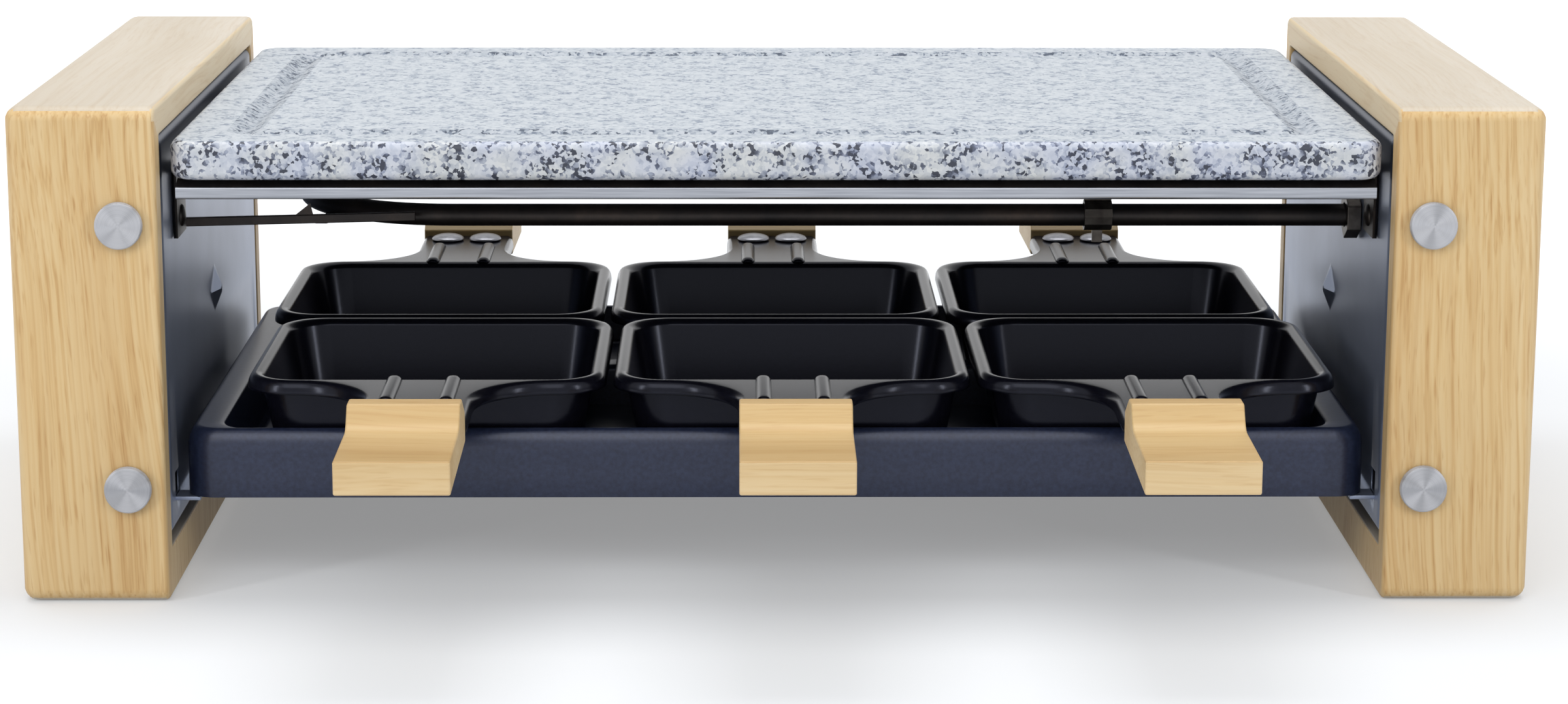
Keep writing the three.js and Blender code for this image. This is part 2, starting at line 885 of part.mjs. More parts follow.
function gripOutline() {
  const shape = new THREE.Shape();
  shape.moveTo(gripStart, gripHeel);
  shape.quadraticCurveTo(heelEnd, gripHeel, gripEnd, gripBottom);
  shape.lineTo(gripEnd, gripTop);
  shape.lineTo(crestFoot + gripEdge, gripTop);
  shape.quadraticCurveTo(crestFoot - gripEdge, gripTop, crestEnd + gripEdge, gripCrest - gripEdge);
  shape.lineTo(crestEnd - gripEdge, gripCrest);
  shape.lineTo(crestStart, gripCrest);
  shape.lineTo(gripStart, gripBack);
  return shape;
}

// A countersunk screw holds the grip to the tongue from below.
const screwRadius = 1.5;
const screwHead = 3;
const screwHeadHeight = 1.6;
const screwSunk = 0.5;
const screwReach = 30;
const screwY = gripStart + screwReach;

function gripScrew() {
  const low = gripBottom + screwSunk + gripEdge;
  const length = shankTop - low;
  return turned([
    [0, 0],
    [screwHead, 0],
    [screwRadius, screwHeadHeight],
    [screwRadius, length],
    [0, length],
  ], vec(0, -screwY, low), vec(0, 0, 1), tubeSides);
}

function panGrip() {
  const slot = boxBetween(
    vec(-tongueHalf - clearance, -gripStart + overrun, shankBottom - clearance),
    vec(tongueHalf + clearance, -tongueEnd - clearance, shankTop + clearance),
  );
  const sink = rod(
    vec(0, -screwY, gripBottom - overrun),
    vec(0, -screwY, shankTop),
    screwHead + clearance,
    tubeSides,
  );
  return cut(sideProfile(gripOutline(), gripWidth, gripEdge), [slot, sink]);
}

function addPanRow(firstNumber, turn, shift) {
  const row = new THREE.Group();
  row.position.x = shift;
  row.rotation.z = turn;
  for (let place = 0; place < panCount; place++) {
    const pan = new THREE.Group();
    pan.position.x = (place - (panCount - 1) / 2) * panPitch;
    const name = `pan_${firstNumber + place}`;
    add(pan, `${name}_dish`, panDish(), nonStick);
    add(pan, `${name}_shank`, panShank(), brushedSteel);
    add(pan, `${name}_grip`, panGrip(), wood);
    add(pan, `${name}_grip_screw`, gripScrew(), brushedSteel);
    row.add(pan);
  }
  grill.add(row);
}

// Mains side, inside the right housing: gland and switch in the rear wall, terminals behind the panel.
const serviceX = bayHalf + (cavityBack - bayHalf + sheet) / 2;
const glandRise = 15.2;
const glandZ = boltHeights.lower + glandRise;
const glandRadius = 6;
const glandBore = 4;
const glandFlange = 7.5;
const glandFlangeHeight = 3;
const glandInside = 9;
const glandNutRadius = 8.5;
const glandNutHeight = 4;

function cableGland() {
  const seat = bodyHalf + clearance;
  return turned([
    [glandBore, mouthHalf - glandInside - seat],
    [glandRadius, mouthHalf - glandInside - seat],
    [glandRadius, 0],
    [glandFlange, 0],
    [glandFlange - clearance, glandFlangeHeight],
    [glandBore, glandFlangeHeight],
    [glandBore, mouthHalf - glandInside - seat],
  ], vec(serviceX, seat, glandZ), vec(0, 1, 0));
}

function glandNut() {
  const seat = panelHalf - sheet - clearance;
  return nut(
    vec(serviceX, seat - glandNutHeight, glandZ),
    vec(serviceX, seat, glandZ),
    glandNutRadius,
    glandRadius,
  );
}

// Switch: a snap-in frame with a rocker on two pins. At rest the rocker is in its off position.
const switchDrop = 17.4;
const switchZ = boltHeights.upper - switchDrop;
const switchWidth = 13;
const switchHeight = 17;
const switchBezel = 1.2;
const switchBezelHeight = 2;
const switchBody = 15;
const rockerWidth = 9;
const rockerHalf = 6.2;
const rockerRise = 3;
const rockerPin = 1;
const rockerPinLength = 1.5;
const rockerTilt = 8;
const rockerRoom = 1;
const pivotSunk = 2;

function switchPivot() {
  return vec(serviceX, bodyHalf - pivotSunk, switchZ);
}

function switchFrame() {
  const pivot = switchPivot();
  const seat = bodyHalf + clearance;
  const bezel = boxBetween(
    vec(serviceX - switchWidth / 2 - switchBezel, seat, switchZ - switchHeight / 2 - switchBezel),
    vec(serviceX + switchWidth / 2 + switchBezel, seat + switchBezelHeight,
      switchZ + switchHeight / 2 + switchBezel),
  );
  const body = boxBetween(
    vec(serviceX - switchWidth / 2, seat - switchBody, switchZ - switchHeight / 2),
    vec(serviceX + switchWidth / 2, seat + switchBezelHeight / 2, switchZ + switchHeight / 2),
  );
  const halfWidth = rockerWidth / 2 + clearance;
  const reach = rockerHalf + rockerRoom;
  const pocket = boxBetween(
    vec(serviceX - halfWidth, pivot.y, switchZ - reach),
    vec(serviceX + halfWidth, seat + overrun, switchZ + reach),
  );
  const bowl = rod(
    vec(serviceX - halfWidth, pivot.y, switchZ),
    vec(serviceX + halfWidth, pivot.y, switchZ),
    reach,
    2 * roundSides,
  );
  const pinReach = rockerWidth / 2 + rockerPinLength + clearance;
  const pinHole = rod(
    vec(serviceX - pinReach, pivot.y, switchZ),
    vec(serviceX + pinReach, pivot.y, switchZ),
    rockerPin + clearance,
    tubeSides,
  );
  return cut(bezel.add(body), [pocket, bowl, pinHole]);
}

function powerRocker() {
  const paddle = new THREE.Shape();
  paddle.absarc(0, 0, rockerHalf, Math.PI, 0);
  paddle.lineTo(rockerHalf, rockerRise);
  paddle.quadraticCurveTo(0, 0, -rockerHalf, rockerRise);
  const geometry = new THREE.ExtrudeGeometry(paddle, {
    depth: rockerWidth,
    curveSegments: cornerSegments,
    bevelEnabled: false,
  });
  geometry.translate(0, 0, -rockerWidth / 2);
  geometry.applyMatrix4(new THREE.Matrix4().makeBasis(vec(0, 0, 1), vec(0, 1, 0), vec(-1, 0, 0)));
  const pinReach = rockerWidth / 2 + rockerPinLength;
  return solid(geometry).add(rod(vec(-pinReach, 0, 0), vec(pinReach, 0, 0), rockerPin, tubeSides));
}

function serviceOpenings() {
  const gland = rod(
    vec(serviceX, 0, glandZ),
    vec(serviceX, bodyHalf + overrun, glandZ),
    glandRadius + clearance,
  );
  const cutout = boxBetween(
    vec(serviceX - switchWidth / 2 - clearance, 0, switchZ - switchHeight / 2 - clearance),
    vec(serviceX + switchWidth / 2 + clearance, bodyHalf + overrun,
      switchZ + switchHeight / 2 + clearance),
  );
  return [gland, cutout];
}

// Thermal cut-out on the back of the panel, terminal block on the housing's outer wall, and leads.
const cutoutRadius = 8;
const cutoutHeight = 7;
const cutoutFlange = 11;
const cutoutFlangeHeight = 1.5;
const cutoutZ = elementZ;
const blockWidth = 12;
const blockDepth = 30;
const blockHeight = 16;
const blockY = 34;
const blockZ = 50;
const blockBore = 2;
const leadRadius = 1.2;
const leadDrop = 4.8;
const leadTurn = 19.2;
const leadStraight = 10.4;
const leadSteps = 14;
const leadSides = 6;

function thermalCutout() {
  return turned([
    [0, 0],
    [cutoutFlange, 0],
    [cutoutFlange, cutoutFlangeHeight],
    [cutoutRadius, cutoutFlangeHeight],
    [cutoutRadius, cutoutHeight],
    [0, cutoutHeight],
  ], vec(bayHalf + sheet + clearance, 0, cutoutZ), vec(1, 0, 0));
}

function blockBores() {
  return [-1, 1].map((side) => rod(
    vec(cavityBack - clearance - blockWidth / 2, blockY + side * blockDepth / 4, blockZ - blockHeight),
    vec(cavityBack - clearance - blockWidth / 2, blockY + side * blockDepth / 4, blockZ + blockHeight),
    blockBore,
    tubeSides,
  ));
}

function terminalBlock() {
  const block = boxBetween(
    vec(cavityBack - clearance - blockWidth, blockY - blockDepth / 2, blockZ - blockHeight / 2),
    vec(cavityBack - clearance, blockY + blockDepth / 2, blockZ + blockHeight / 2),
  );
  return cut(block, blockBores());
}

function elementLead(side) {
  const pinEnd = bayHalf + coldEnd + pinLength + clearance;
  const blockX = cavityBack - clearance - blockWidth / 2;
  const y = side * legHalf;
  const boreY = blockY + side * blockDepth / 4;
  const turnZ = blockZ + leadTurn;
  return tube(new THREE.CatmullRomCurve3([
    vec(pinEnd, y, elementZ),
    vec(blockX - leadRadius, y, elementZ),
    vec(blockX, y, elementZ - leadDrop),
    vec(blockX, (y + boreY) / 2, (elementZ + turnZ) / 2),
    vec(blockX, boreY, turnZ),
    vec(blockX, boreY, blockZ + leadStraight),
    vec(blockX, boreY, blockZ),
  ]), leadRadius, leadSteps, leadSides);
}

// The bolts of one end. Its own -Y is the front on the right, and the rear on the left.
function addBolts(end, hand, front) {
  for (const [level, z] of Object.entries(boltHeights)) {
    add(end, `${hand}_front_${level}_bolt`, housingBolt(front, z), brushedSteel);
    add(end, `${hand}_rear_${level}_bolt`, housingBolt(-front, z), brushedSteel);
  }
}

add(leftEnd, 'left_wood_housing', housing(), wood);
add(leftEnd, 'left_side_panel', panel([
  supportBar(-1, clearance),
  ...rivetHoles(),
]), panelSteel);
addBolts(leftEnd, 'left', 1);

add(rightEnd, 'right_wood_housing', cut(housing(), serviceOpenings()), wood);
add(rightEnd, 'right_side_panel', panel([
  ...elementHoles(),
  ...rivetHoles(),
  ...serviceOpenings(),
]), panelSteel);
addBolts(rightEnd, 'right', -1);
add(rightEnd, 'cable_gland', cableGland(), blackPlastic);
add(rightEnd, 'gland_nut', glandNut(), blackPlastic);
add(rightEnd, 'switch_frame', switchFrame(), blackPlastic);
add(rightEnd, 'thermal_cutout', thermalCutout(), ceramic);
add(rightEnd, 'terminal_block', terminalBlock(), ceramic);
for (const [place, side] of Object.entries({ front: -1, rear: 1 })) {
  const y = side * legHalf;
  add(rightEnd, `${place}_element_lead`, elementLead(side), leadSleeve);
  add(rightEnd, `${place}_element_insulator`, elementInsulator(y), ceramic);
  add(rightEnd, `${place}_element_collar`, elementCollar(y), brushedSteel);
  add(rightEnd, `${place}_element_clip`, elementClip(side), brushedSteel);
}

const rocker = new THREE.Group();
rocker.position.copy(switchPivot());
rocker.rotation.x = THREE.MathUtils.degToRad(rockerTilt);
add(rocker, 'power_rocker', powerRocker(), blackPlastic);
grill.add(rocker);

const rearHalf = new THREE.Group();
rearHalf.rotation.z = Math.PI;
add(grill, 'front_rail', rail(), polishedSteel);
add(rearHalf, 'rear_rail', rail(), polishedSteel);
grill.add(rearHalf);
add(grill, 'heating_element', heatingElement(), elementSteel);
add(grill, 'bend_support', bendSupport(), elementSteel);
add(grill, 'cooking_stone', cookingStone(), granite);
add(grill, 'pan_deck', panDeck(), coatedSteel);
addPanRow(1, 0, panShift.front);
addPanRow(1 + panCount, Math.PI, panShift.rear);

export default grill;
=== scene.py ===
import math

import bpy
import numpy as np
from mathutils import Matrix


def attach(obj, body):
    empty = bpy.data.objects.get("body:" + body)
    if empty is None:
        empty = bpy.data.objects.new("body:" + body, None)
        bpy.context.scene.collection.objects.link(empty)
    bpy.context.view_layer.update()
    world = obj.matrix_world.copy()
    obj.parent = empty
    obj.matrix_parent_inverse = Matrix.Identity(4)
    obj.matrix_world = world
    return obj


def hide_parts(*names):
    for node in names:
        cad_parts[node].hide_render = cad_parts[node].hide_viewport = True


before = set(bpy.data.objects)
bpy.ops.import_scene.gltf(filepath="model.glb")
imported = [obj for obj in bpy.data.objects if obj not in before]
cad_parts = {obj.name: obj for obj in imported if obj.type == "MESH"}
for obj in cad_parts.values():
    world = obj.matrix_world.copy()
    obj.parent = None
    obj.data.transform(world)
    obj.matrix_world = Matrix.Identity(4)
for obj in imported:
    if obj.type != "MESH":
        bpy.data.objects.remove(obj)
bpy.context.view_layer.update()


# Camera
# It stands about a metre in front of the grill and looks down on it by 12 degrees, as the
# photographer's did. The small turn and roll are the photograph's own.
camera = bpy.data.objects.new("camera", bpy.data.cameras.new("camera"))
bpy.context.collection.objects.link(camera)
bpy.context.scene.camera = camera
camera.data.sensor_width = 36
camera.data.lens = 83.8
camera.data.clip_start = 0.05
camera.matrix_world = (
    Matrix.Translation((-0.0107, -1.0916, 0.2839))
    @ Matrix.Rotation(math.radians(-0.73), 4, "Z")
    @ Matrix.Rotation(math.radians(90 - 12.13), 4, "X")
    @ Matrix.Rotation(math.radians(0.128), 4, "Z")
)
bpy.context.scene.view_settings.view_transform = "Standard"


# Wooden housings
# Each end is a hollow block of rubberwood, glued up from boards, rounded by a router along its
# edges and clear lacquered. Its mouth faces the bay, and a steel tray closes it.
HOUSING_OUTER, HOUSING_INNER, HOUSING_BACK = 211.0, 170.0, 199.0
HOUSING_DEPTH, HOUSING_HEIGHT = 105.0, 140.0
MOUTH = (-96.5, 96.5, 14.0, 131.0)
HOUSING_EDGE, INNER_EDGE, MOUTH_EDGE = 4.0, 1.6, 0.7
MAINS_X, GLAND_Z, SWITCH_Z = 185.1, 48.2, 90.1
REAR_OPENINGS = ((GLAND_Z, 6.3, 6.3, 3.7), (SWITCH_Z, 6.6, 8.6, 0.4))


def linear(code):
    """Turns an sRGB hex colour into linear red, green, blue and alpha."""
    share = np.array([int(code[i:i + 2], 16) for i in (0, 2, 4)]) / 255
    return (*np.where(share <= 0.04045, share / 12.92, ((share + 0.055) / 1.055) ** 2.4).tolist(), 1.0)


def add(tree, kind, wires=None, stops=None, **settings):
    """Adds a node with its settings. wires gives each input, by name or number, a value or the
    output that feeds it, and stops are a ramp's places and hex colours."""
    made = tree.nodes.new(kind)
    for name, value in settings.items():
        setattr(made, name, value)
    if stops:
        ramp = made.color_ramp.elements
        ramp[0].position, ramp[0].color = stops[0][0], linear(stops[0][1])
        ramp[1].position, ramp[1].color = stops[-1][0], linear(stops[-1][1])
        for place, code in stops[1:-1]:
            ramp.new(place).color = linear(code)
    for socket, value in (wires or {}).items():
        if isinstance(value, bpy.types.NodeSocket):
            tree.links.new(value, made.inputs[socket])
        else:
            made.inputs[socket].default_value = value
    return made


def start_material(name, sockets):
    """A new material with these values on its Principled shader."""
    material = bpy.data.materials.new(name)
    material.use_nodes = True
    shader = material.node_tree.nodes["Principled BSDF"]
    for socket, value in sockets.items():
        shader.inputs[socket].default_value = value
    return material, material.node_tree, shader


def lacquered_wood(name, turn, light, middle, dark, contrast=1.0):
    """Rubberwood, planed and lacquered. Along a grain that bows a little it has soft clouds, growth
    rings that darken slowly and end at once, thin darker lines and short fine pores, which are just
    felt through the satin coat. contrast weighs the figure down where the light washes it out.
    Here and below the Scale of a noise or of cells is their number to the metre. So the clouds are
    33 mm wide, the lines 1.1 mm apart and the pores 0.7 mm, coarser than real ones so that they
    show. A wave repeats after 314 mm over its Scale, which puts the rings 3.3 mm apart."""
    material, tree, shader = start_material(name, {"Roughness": 0.46, "Specular IOR Level": 0.4})
    place = add(tree, "ShaderNodeTexCoord").outputs["Object"]
    bow = add(tree, "ShaderNodeTexNoise", {"Vector": place, "Scale": 9.0, "Detail": 1.0}).outputs["Color"]
    place = add(tree, "ShaderNodeVectorMath", {0: bow, 1: (0.012, 0.012, 0.012), 2: place},
                operation="MULTIPLY_ADD").outputs[0]
    grain = add(tree, "ShaderNodeMapping", {"Vector": place, "Rotation": turn}).outputs[0]
    drawn = add(tree, "ShaderNodeMapping", {"Vector": grain, "Scale": (1, 1, 0.06)}).outputs[0]
    cloud = add(tree, "ShaderNodeTexNoise", {"Vector": drawn, "Scale": 30.0, "Detail": 2.0}).outputs["Fac"]
    colour = add(tree, "ShaderNodeValToRGB", {"Fac": cloud},
                 stops=[(0.3, light), (0.5, middle), (0.75, dark)]).outputs["Color"]
    rings = add(tree, "ShaderNodeTexWave",
                {"Vector": drawn, "Scale": 95.0, "Distortion": 14.0, "Detail": 2.0, "Detail Scale": 0.6},
                wave_profile="SAW").outputs["Fac"]
    rings = add(tree, "ShaderNodeValToRGB", {"Fac": rings},
                stops=[(0.0, "eedfc8"), (0.14, "ffffff"), (0.7, "f7eddc"), (0.93, "dcc29a"),
                       (1.0, "e2caa6")]).outputs["Color"]
    colour = add(tree, "ShaderNodeMix", {0: 0.3 * contrast, 6: colour, 7: rings},
                 data_type="RGBA", blend_type="MULTIPLY").outputs[2]
    fine = add(tree, "ShaderNodeMapping", {"Vector": grain, "Scale": (1, 1, 0.008)}).outputs[0]
    line = add(tree, "ShaderNodeTexNoise", {"Vector": fine, "Scale": 900.0, "Detail": 2.0}).outputs["Fac"]
    lines = add(tree, "ShaderNodeValToRGB", {"Fac": line},
                stops=[(0.44, "ffffff"), (0.58, "f4e8d4"), (0.66, "d6bb90"),
                       (0.74, "ead7ba")]).outputs["Color"]
    colour = add(tree, "ShaderNodeMix", {0: 0.5 * contrast, 6: colour, 7: lines},
                 data_type="RGBA", blend_type="MULTIPLY").outputs[2]
    pores = add(tree, "ShaderNodeMapping", {"Vector": grain, "Scale": (1, 1, 0.06)}).outputs[0]
    pores = add(tree, "ShaderNodeTexNoise", {"Vector": pores, "Scale": 1500.0, "Detail": 1.0}).outputs["Fac"]
    marks = add(tree, "ShaderNodeValToRGB", {"Fac": pores},
                stops=[(0.6, "ffffff"), (0.74, "cfae80")]).outputs["Color"]
    colour = add(tree, "ShaderNodeMix", {0: 0.35 * contrast, 6: colour, 7: marks},
                 data_type="RGBA", blend_type="MULTIPLY").outputs[2]
    tree.links.new(colour, shader.inputs["Base Color"])
    relief = add(tree, "ShaderNodeBump", {"Height": pores, "Strength": 0.2, "Distance": 0.0001}).outputs[0]
    tree.links.new(relief, shader.inputs["Normal"])
    return material


NEARLY_UPRIGHT = (0, math.radians(2.5), 0)
ALONG_X, ALONG_Y = (0, math.radians(90), 0), (math.radians(90), 0, 0)

upright_wood = lacquered_wood("lacquered_wood_upright", NEARLY_UPRIGHT, "dac399", "d3b889", "caab7b")
brow_wood = lacquered_wood("lacquered_wood_brow", ALONG_Y, "dac9a9", "d2bf9d", "c9b590", 0.5)
# The top's copy is paler and greyer, with a faint figure: a painted sheen where the light washes the top out.
top_wood_painted_sheen = lacquered_wood("lacquered_wood_along_painted_sheen", ALONG_Y, "ccc3b5", "c4baaa", "baae9b", 0.35)


def corner_ring(left, right, low, high, radius, steps=6):
    """Rounded rectangles, one for each entry of the arrays. Each corner is a quarter circle about
    a centre that lies its radius inside both sides. Counter-clockwise, in (ring, point, 2)."""
    angle = np.linspace(0, np.pi / 2, steps + 1)
    angle = (angle[None, :] + np.arange(4)[:, None] * np.pi / 2).ravel()
    quarter = np.repeat(np.arange(4), steps + 1)
    shape = np.broadcast(left, right, low, high, radius).shape or (1,)
    left, right, low, high, radius = (np.broadcast_to(value, shape)[:, None]
                                      for value in (left, right, low, high, radius))
    centre_a = np.where((quarter == 0) | (quarter == 3), right - radius, left + radius)
    centre_b = np.where(quarter < 2, high - radius, low + radius)
    return np.stack([centre_a + radius * np.cos(angle), centre_b + radius * np.sin(angle)], -1)


def skin(rings, first_cap=True, last_cap=True, start=0):
    """Faces between each ring and the next, and one flat face inside the first and last ring."""
    count, size = rings.shape[:2]
    here = np.arange(count * size).reshape(count, size) + start
    after = np.roll(here, -1, axis=1)
    faces = np.stack([here[:-1], after[:-1], after[1:], here[1:]], -1).reshape(-1, 4).tolist()
    if first_cap:
        faces.append(here[0][::-1].tolist())
    if last_cap:
        faces.append(here[-1].tolist())
    return faces


def starts(parts, first=0):
    """The number of each part's first point, when the parts follow one another in a mesh."""
    return np.cumsum([first, *(part[..., 0].size for part in parts[:-1])])


def skins(parts):
    """Faces of closed shells that follow one another in a mesh."""
    return [face for part, start in zip(parts, starts(parts)) for face in skin(part, start=start)]


def make_piece(name, points, faces, materials, body, nodes=(), wall=0.0, crease=38):
    """Puts points, in millimetres, and faces into a mesh at the origin, lets it ride on its body,
    and shades it smooth except across edges sharper than crease. wall gives a sheet its gauge."""
    mesh = bpy.data.meshes.new(name)
    mesh.from_pydata((np.concatenate([np.reshape(p, (-1, 3)) for p in points]) / 1000).tolist(), [], faces)
    mesh.update()
    for material in materials:
        mesh.materials.append(material)
    mesh.shade_smooth()
    mesh.set_sharp_from_angle(angle=math.radians(crease))
    piece = bpy.data.objects.new(name, mesh)
    bpy.context.collection.objects.link(piece)
    if wall:
        gauge = piece.modifiers.new("gauge", "SOLIDIFY")
        gauge.thickness, gauge.offset, gauge.use_even_offset = wall / 1000, -1, True
    flats = piece.modifiers.new("flats", "WEIGHTED_NORMAL")
    flats.keep_sharp = True
    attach(piece, body)
    if nodes:
        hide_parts(*nodes)
    return piece


def half_turn(points, hand):
    """The left end is the right one turned half round, so x and y change sign together."""
    return points * np.array([hand, hand, 1.0])


def housing_rings():
    """Rounded rectangles carried inwards from the outer face, over its rounded edge, along the
    sides, over the inner edge and the rim, and into the hollow to its back wall."""
    turn = np.linspace(0, np.pi / 2, 6)
    x = np.concatenate([HOUSING_OUTER - HOUSING_EDGE * (1 - np.cos(turn)),
                        HOUSING_INNER + INNER_EDGE * (1 - np.cos(turn[::-1]))])
    inset = np.concatenate([HOUSING_EDGE * (1 - np.sin(turn)), INNER_EDGE * (1 - np.sin(turn[::-1]))])
    radius = np.maximum(HOUSING_EDGE - inset, 0.02)
    outside = corner_ring(-HOUSING_DEPTH + inset, HOUSING_DEPTH - inset,
                          inset, HOUSING_HEIGHT - inset, radius)
    mouth_x = HOUSING_INNER + np.append(MOUTH_EDGE * (1 - np.cos(turn)), HOUSING_BACK - HOUSING_INNER)
    grow = np.append(MOUTH_EDGE * (1 - np.sin(turn)), 0)
    inside = corner_ring(MOUTH[0] - grow, MOUTH[1] + grow, MOUTH[2] - grow, MOUTH[3] + grow, 1.0 + grow)
    x = np.append(x, mouth_x)
    yz = np.concatenate([outside, inside])
    return np.concatenate([np.broadcast_to(x[:, None, None], (*yz.shape[:2], 1)), yz], -1)


def open_rear_wall(points, faces):
    """Routs the gland's and the switch's openings through the right block's rear wall. Each is a
    rectangle with its corners cut off, as a left and a right chain of points from low to high.
    The wall is the only face there that is wider than the rounded edges beside it."""
    points, faces = points.reshape(-1, 3), list(faces)

    def facing(face, towards):
        corners = points[list(face)]
        normal = np.cross(corners, np.roll(corners, -1, axis=0)).sum(axis=0)
        return list(face) if normal @ towards > 0 else list(face)[::-1]

    walls = []
    for wall_y, outwards in ((HOUSING_DEPTH, 1.0), (MOUTH[1], -1.0)):
        whole = next(face for face in faces
                     if len(face) == 4 and np.ptp(points[face][:, 0]) > 4 * HOUSING_EDGE
                     and np.abs(points[face][:, 1] - wall_y).max() < 0.01)
        faces.remove(whole)
        low, high = np.split(np.array(whole)[np.argsort(points[whole][:, 2])], 2)
        low, high = (pair[np.argsort(points[pair][:, 0])] for pair in (low, high))
        chains = []
        for z, half_x, half_z, cut in REAR_OPENINGS:
            left = np.array([(cut - half_x, -half_z), (-half_x, cut - half_z),
                             (-half_x, half_z - cut), (cut - half_x, half_z)])
            for chain in (left, left * (-1, 1)):
                chains.append(np.arange(4) + len(points))
                edge = np.stack([MAINS_X + chain[:, 0], np.full(4, wall_y), z + chain[:, 1]], -1)
                points = np.concatenate([points, edge])
        first, second, third, fourth = chains
        faces += [facing(face, np.array([0, outwards, 0])) for face in (
            [low[0], *first, *third, high[0]], [low[1], *second, *fourth, high[1]],
            [low[0], low[1], second[0], first[0]], [first[3], second[3], fourth[0], third[0]],
            [third[3], fourth[3], high[1], high[0]])]
        walls.append([np.concatenate([first, second[::-1]]), np.concatenate([third, fourth[::-1]])])
    for outer, inner in zip(*walls):
        middle = points[outer].mean(axis=0)
        for here, there, behind, beside in zip(outer, np.roll(outer, -1), np.roll(inner, -1), inner):
            quad = [here, there, behind, beside]
            faces.append(facing(quad, (middle - points[quad].mean(axis=0)) * (1, 0, 1)))
    return points, [[int(corner) for corner in face] for face in faces]


for hand, side in ((-1, "left"), (1, "right")):
    rings = half_turn(housing_rings()[:, ::-1], hand)
    points, faces = open_rear_wall(rings, skin(rings)) if hand > 0 else (rings, skin(rings))
    housing = make_piece(f"{side}_wood_block", [points], faces, [upright_wood, top_wood_painted_sheen, brow_wood],
                         "frame", [f"{side}_wood_housing"])
    # Level faces show the top's grain in a paler, greyer copy with its figure weighed down, a painted
    # sheen, and the brow is the wood's inner face over the mouth.
    normals = np.empty(3 * len(housing.data.polygons))
    housing.data.polygons.foreach_get("normal", normals)
    level = np.abs(normals.reshape(-1, 3)[:, 2]) > 0.72
    brow = np.array([face.center.z > 0.129 and abs(face.normal.x) > 0.6 and abs(face.center.x) < 0.19
                     for face in housing.data.polygons])
    housing.data.polygons.foreach_set("material_index", np.where(brow, 2, level).astype(np.int32))


# Side panels
# A tray of painted steel sheet closes each housing's mouth, flush with the wood. A diamond is
# pressed into its middle, and two tabs are bent out of it to carry the pan deck.
PANEL_HALF, PANEL_LOW, PANEL_TOP, PANEL_BEND, PANEL_FLANGE = 96.2, 16.7, 130.7, 3.0, 20.0
BOSS_Z, BOSS_HALF_Y, BOSS_HALF_Z, BOSS_RISE, BOSS_FLAT = 69.5, 9.8, 6.9, 2.7, 0.86
FINE_HALF_Y, FINE_HALF_Z = 15.0, 8.0
TAB_Y, TAB_HALF, TAB_TOP, TAB_REACH = 84.0, 4.0, 26.4, 7.0
SHEET, SEAM = 1.2, 0.02

panel_paint, tree, shader = start_material(
    "satin_painted_steel", {"Metallic": 0.75, "Roughness": 0.36, "Specular IOR Level": 0.5})
# Satin paint on cold-rolled steel: an even grey with a faint cloud where the coat is thicker, and a
# painted shade that darkens the band beside the stone. Its fine grit is drawn at 0.6 mm, coarser than it is.
place = add(tree, "ShaderNodeTexCoord").outputs["Object"]
cloud = add(tree, "ShaderNodeTexNoise", {"Vector": place, "Scale": 28.0, "Detail": 5.0}).outputs["Fac"]
colour = add(tree, "ShaderNodeValToRGB", {"Fac": cloud},
             stops=[(0.3, "7c859a"), (0.7, "8f99ae")]).outputs["Color"]
height = add(tree, "ShaderNodeSeparateXYZ", {0: place}).outputs["Z"]
# A painted shade darkens the panel from 108 mm upwards, beside the stone.
painted_shade_near_stone = add(tree, "ShaderNodeMapRange", {0: height, 1: 0.108, 2: 0.121}).outputs[0]
colour = add(tree, "ShaderNodeMix", {0: painted_shade_near_stone, 6: colour, 7: linear("8d8d8f")},
             data_type="RGBA", blend_type="MULTIPLY").outputs[2]
tree.links.new(colour, shader.inputs["Base Color"])
grit = add(tree, "ShaderNodeTexNoise", {"Vector": place, "Scale": 1800.0, "Detail": 2.0}).outputs["Fac"]
relief = add(tree, "ShaderNodeBump", {"Height": grit, "Strength": 0.15, "Distance": 0.00005}).outputs[0]
tree.links.new(relief, shader.inputs["Normal"])


def sheet_grid(rows, columns, start=0):
    """Faces of a grid of points, rows by columns."""
    here = np.arange(rows * columns).reshape(rows, columns) + start
    return np.stack([here[:-1, :-1], here[:-1, 1:], here[1:, 1:], here[1:, :-1]], -1).reshape(-1, 4)


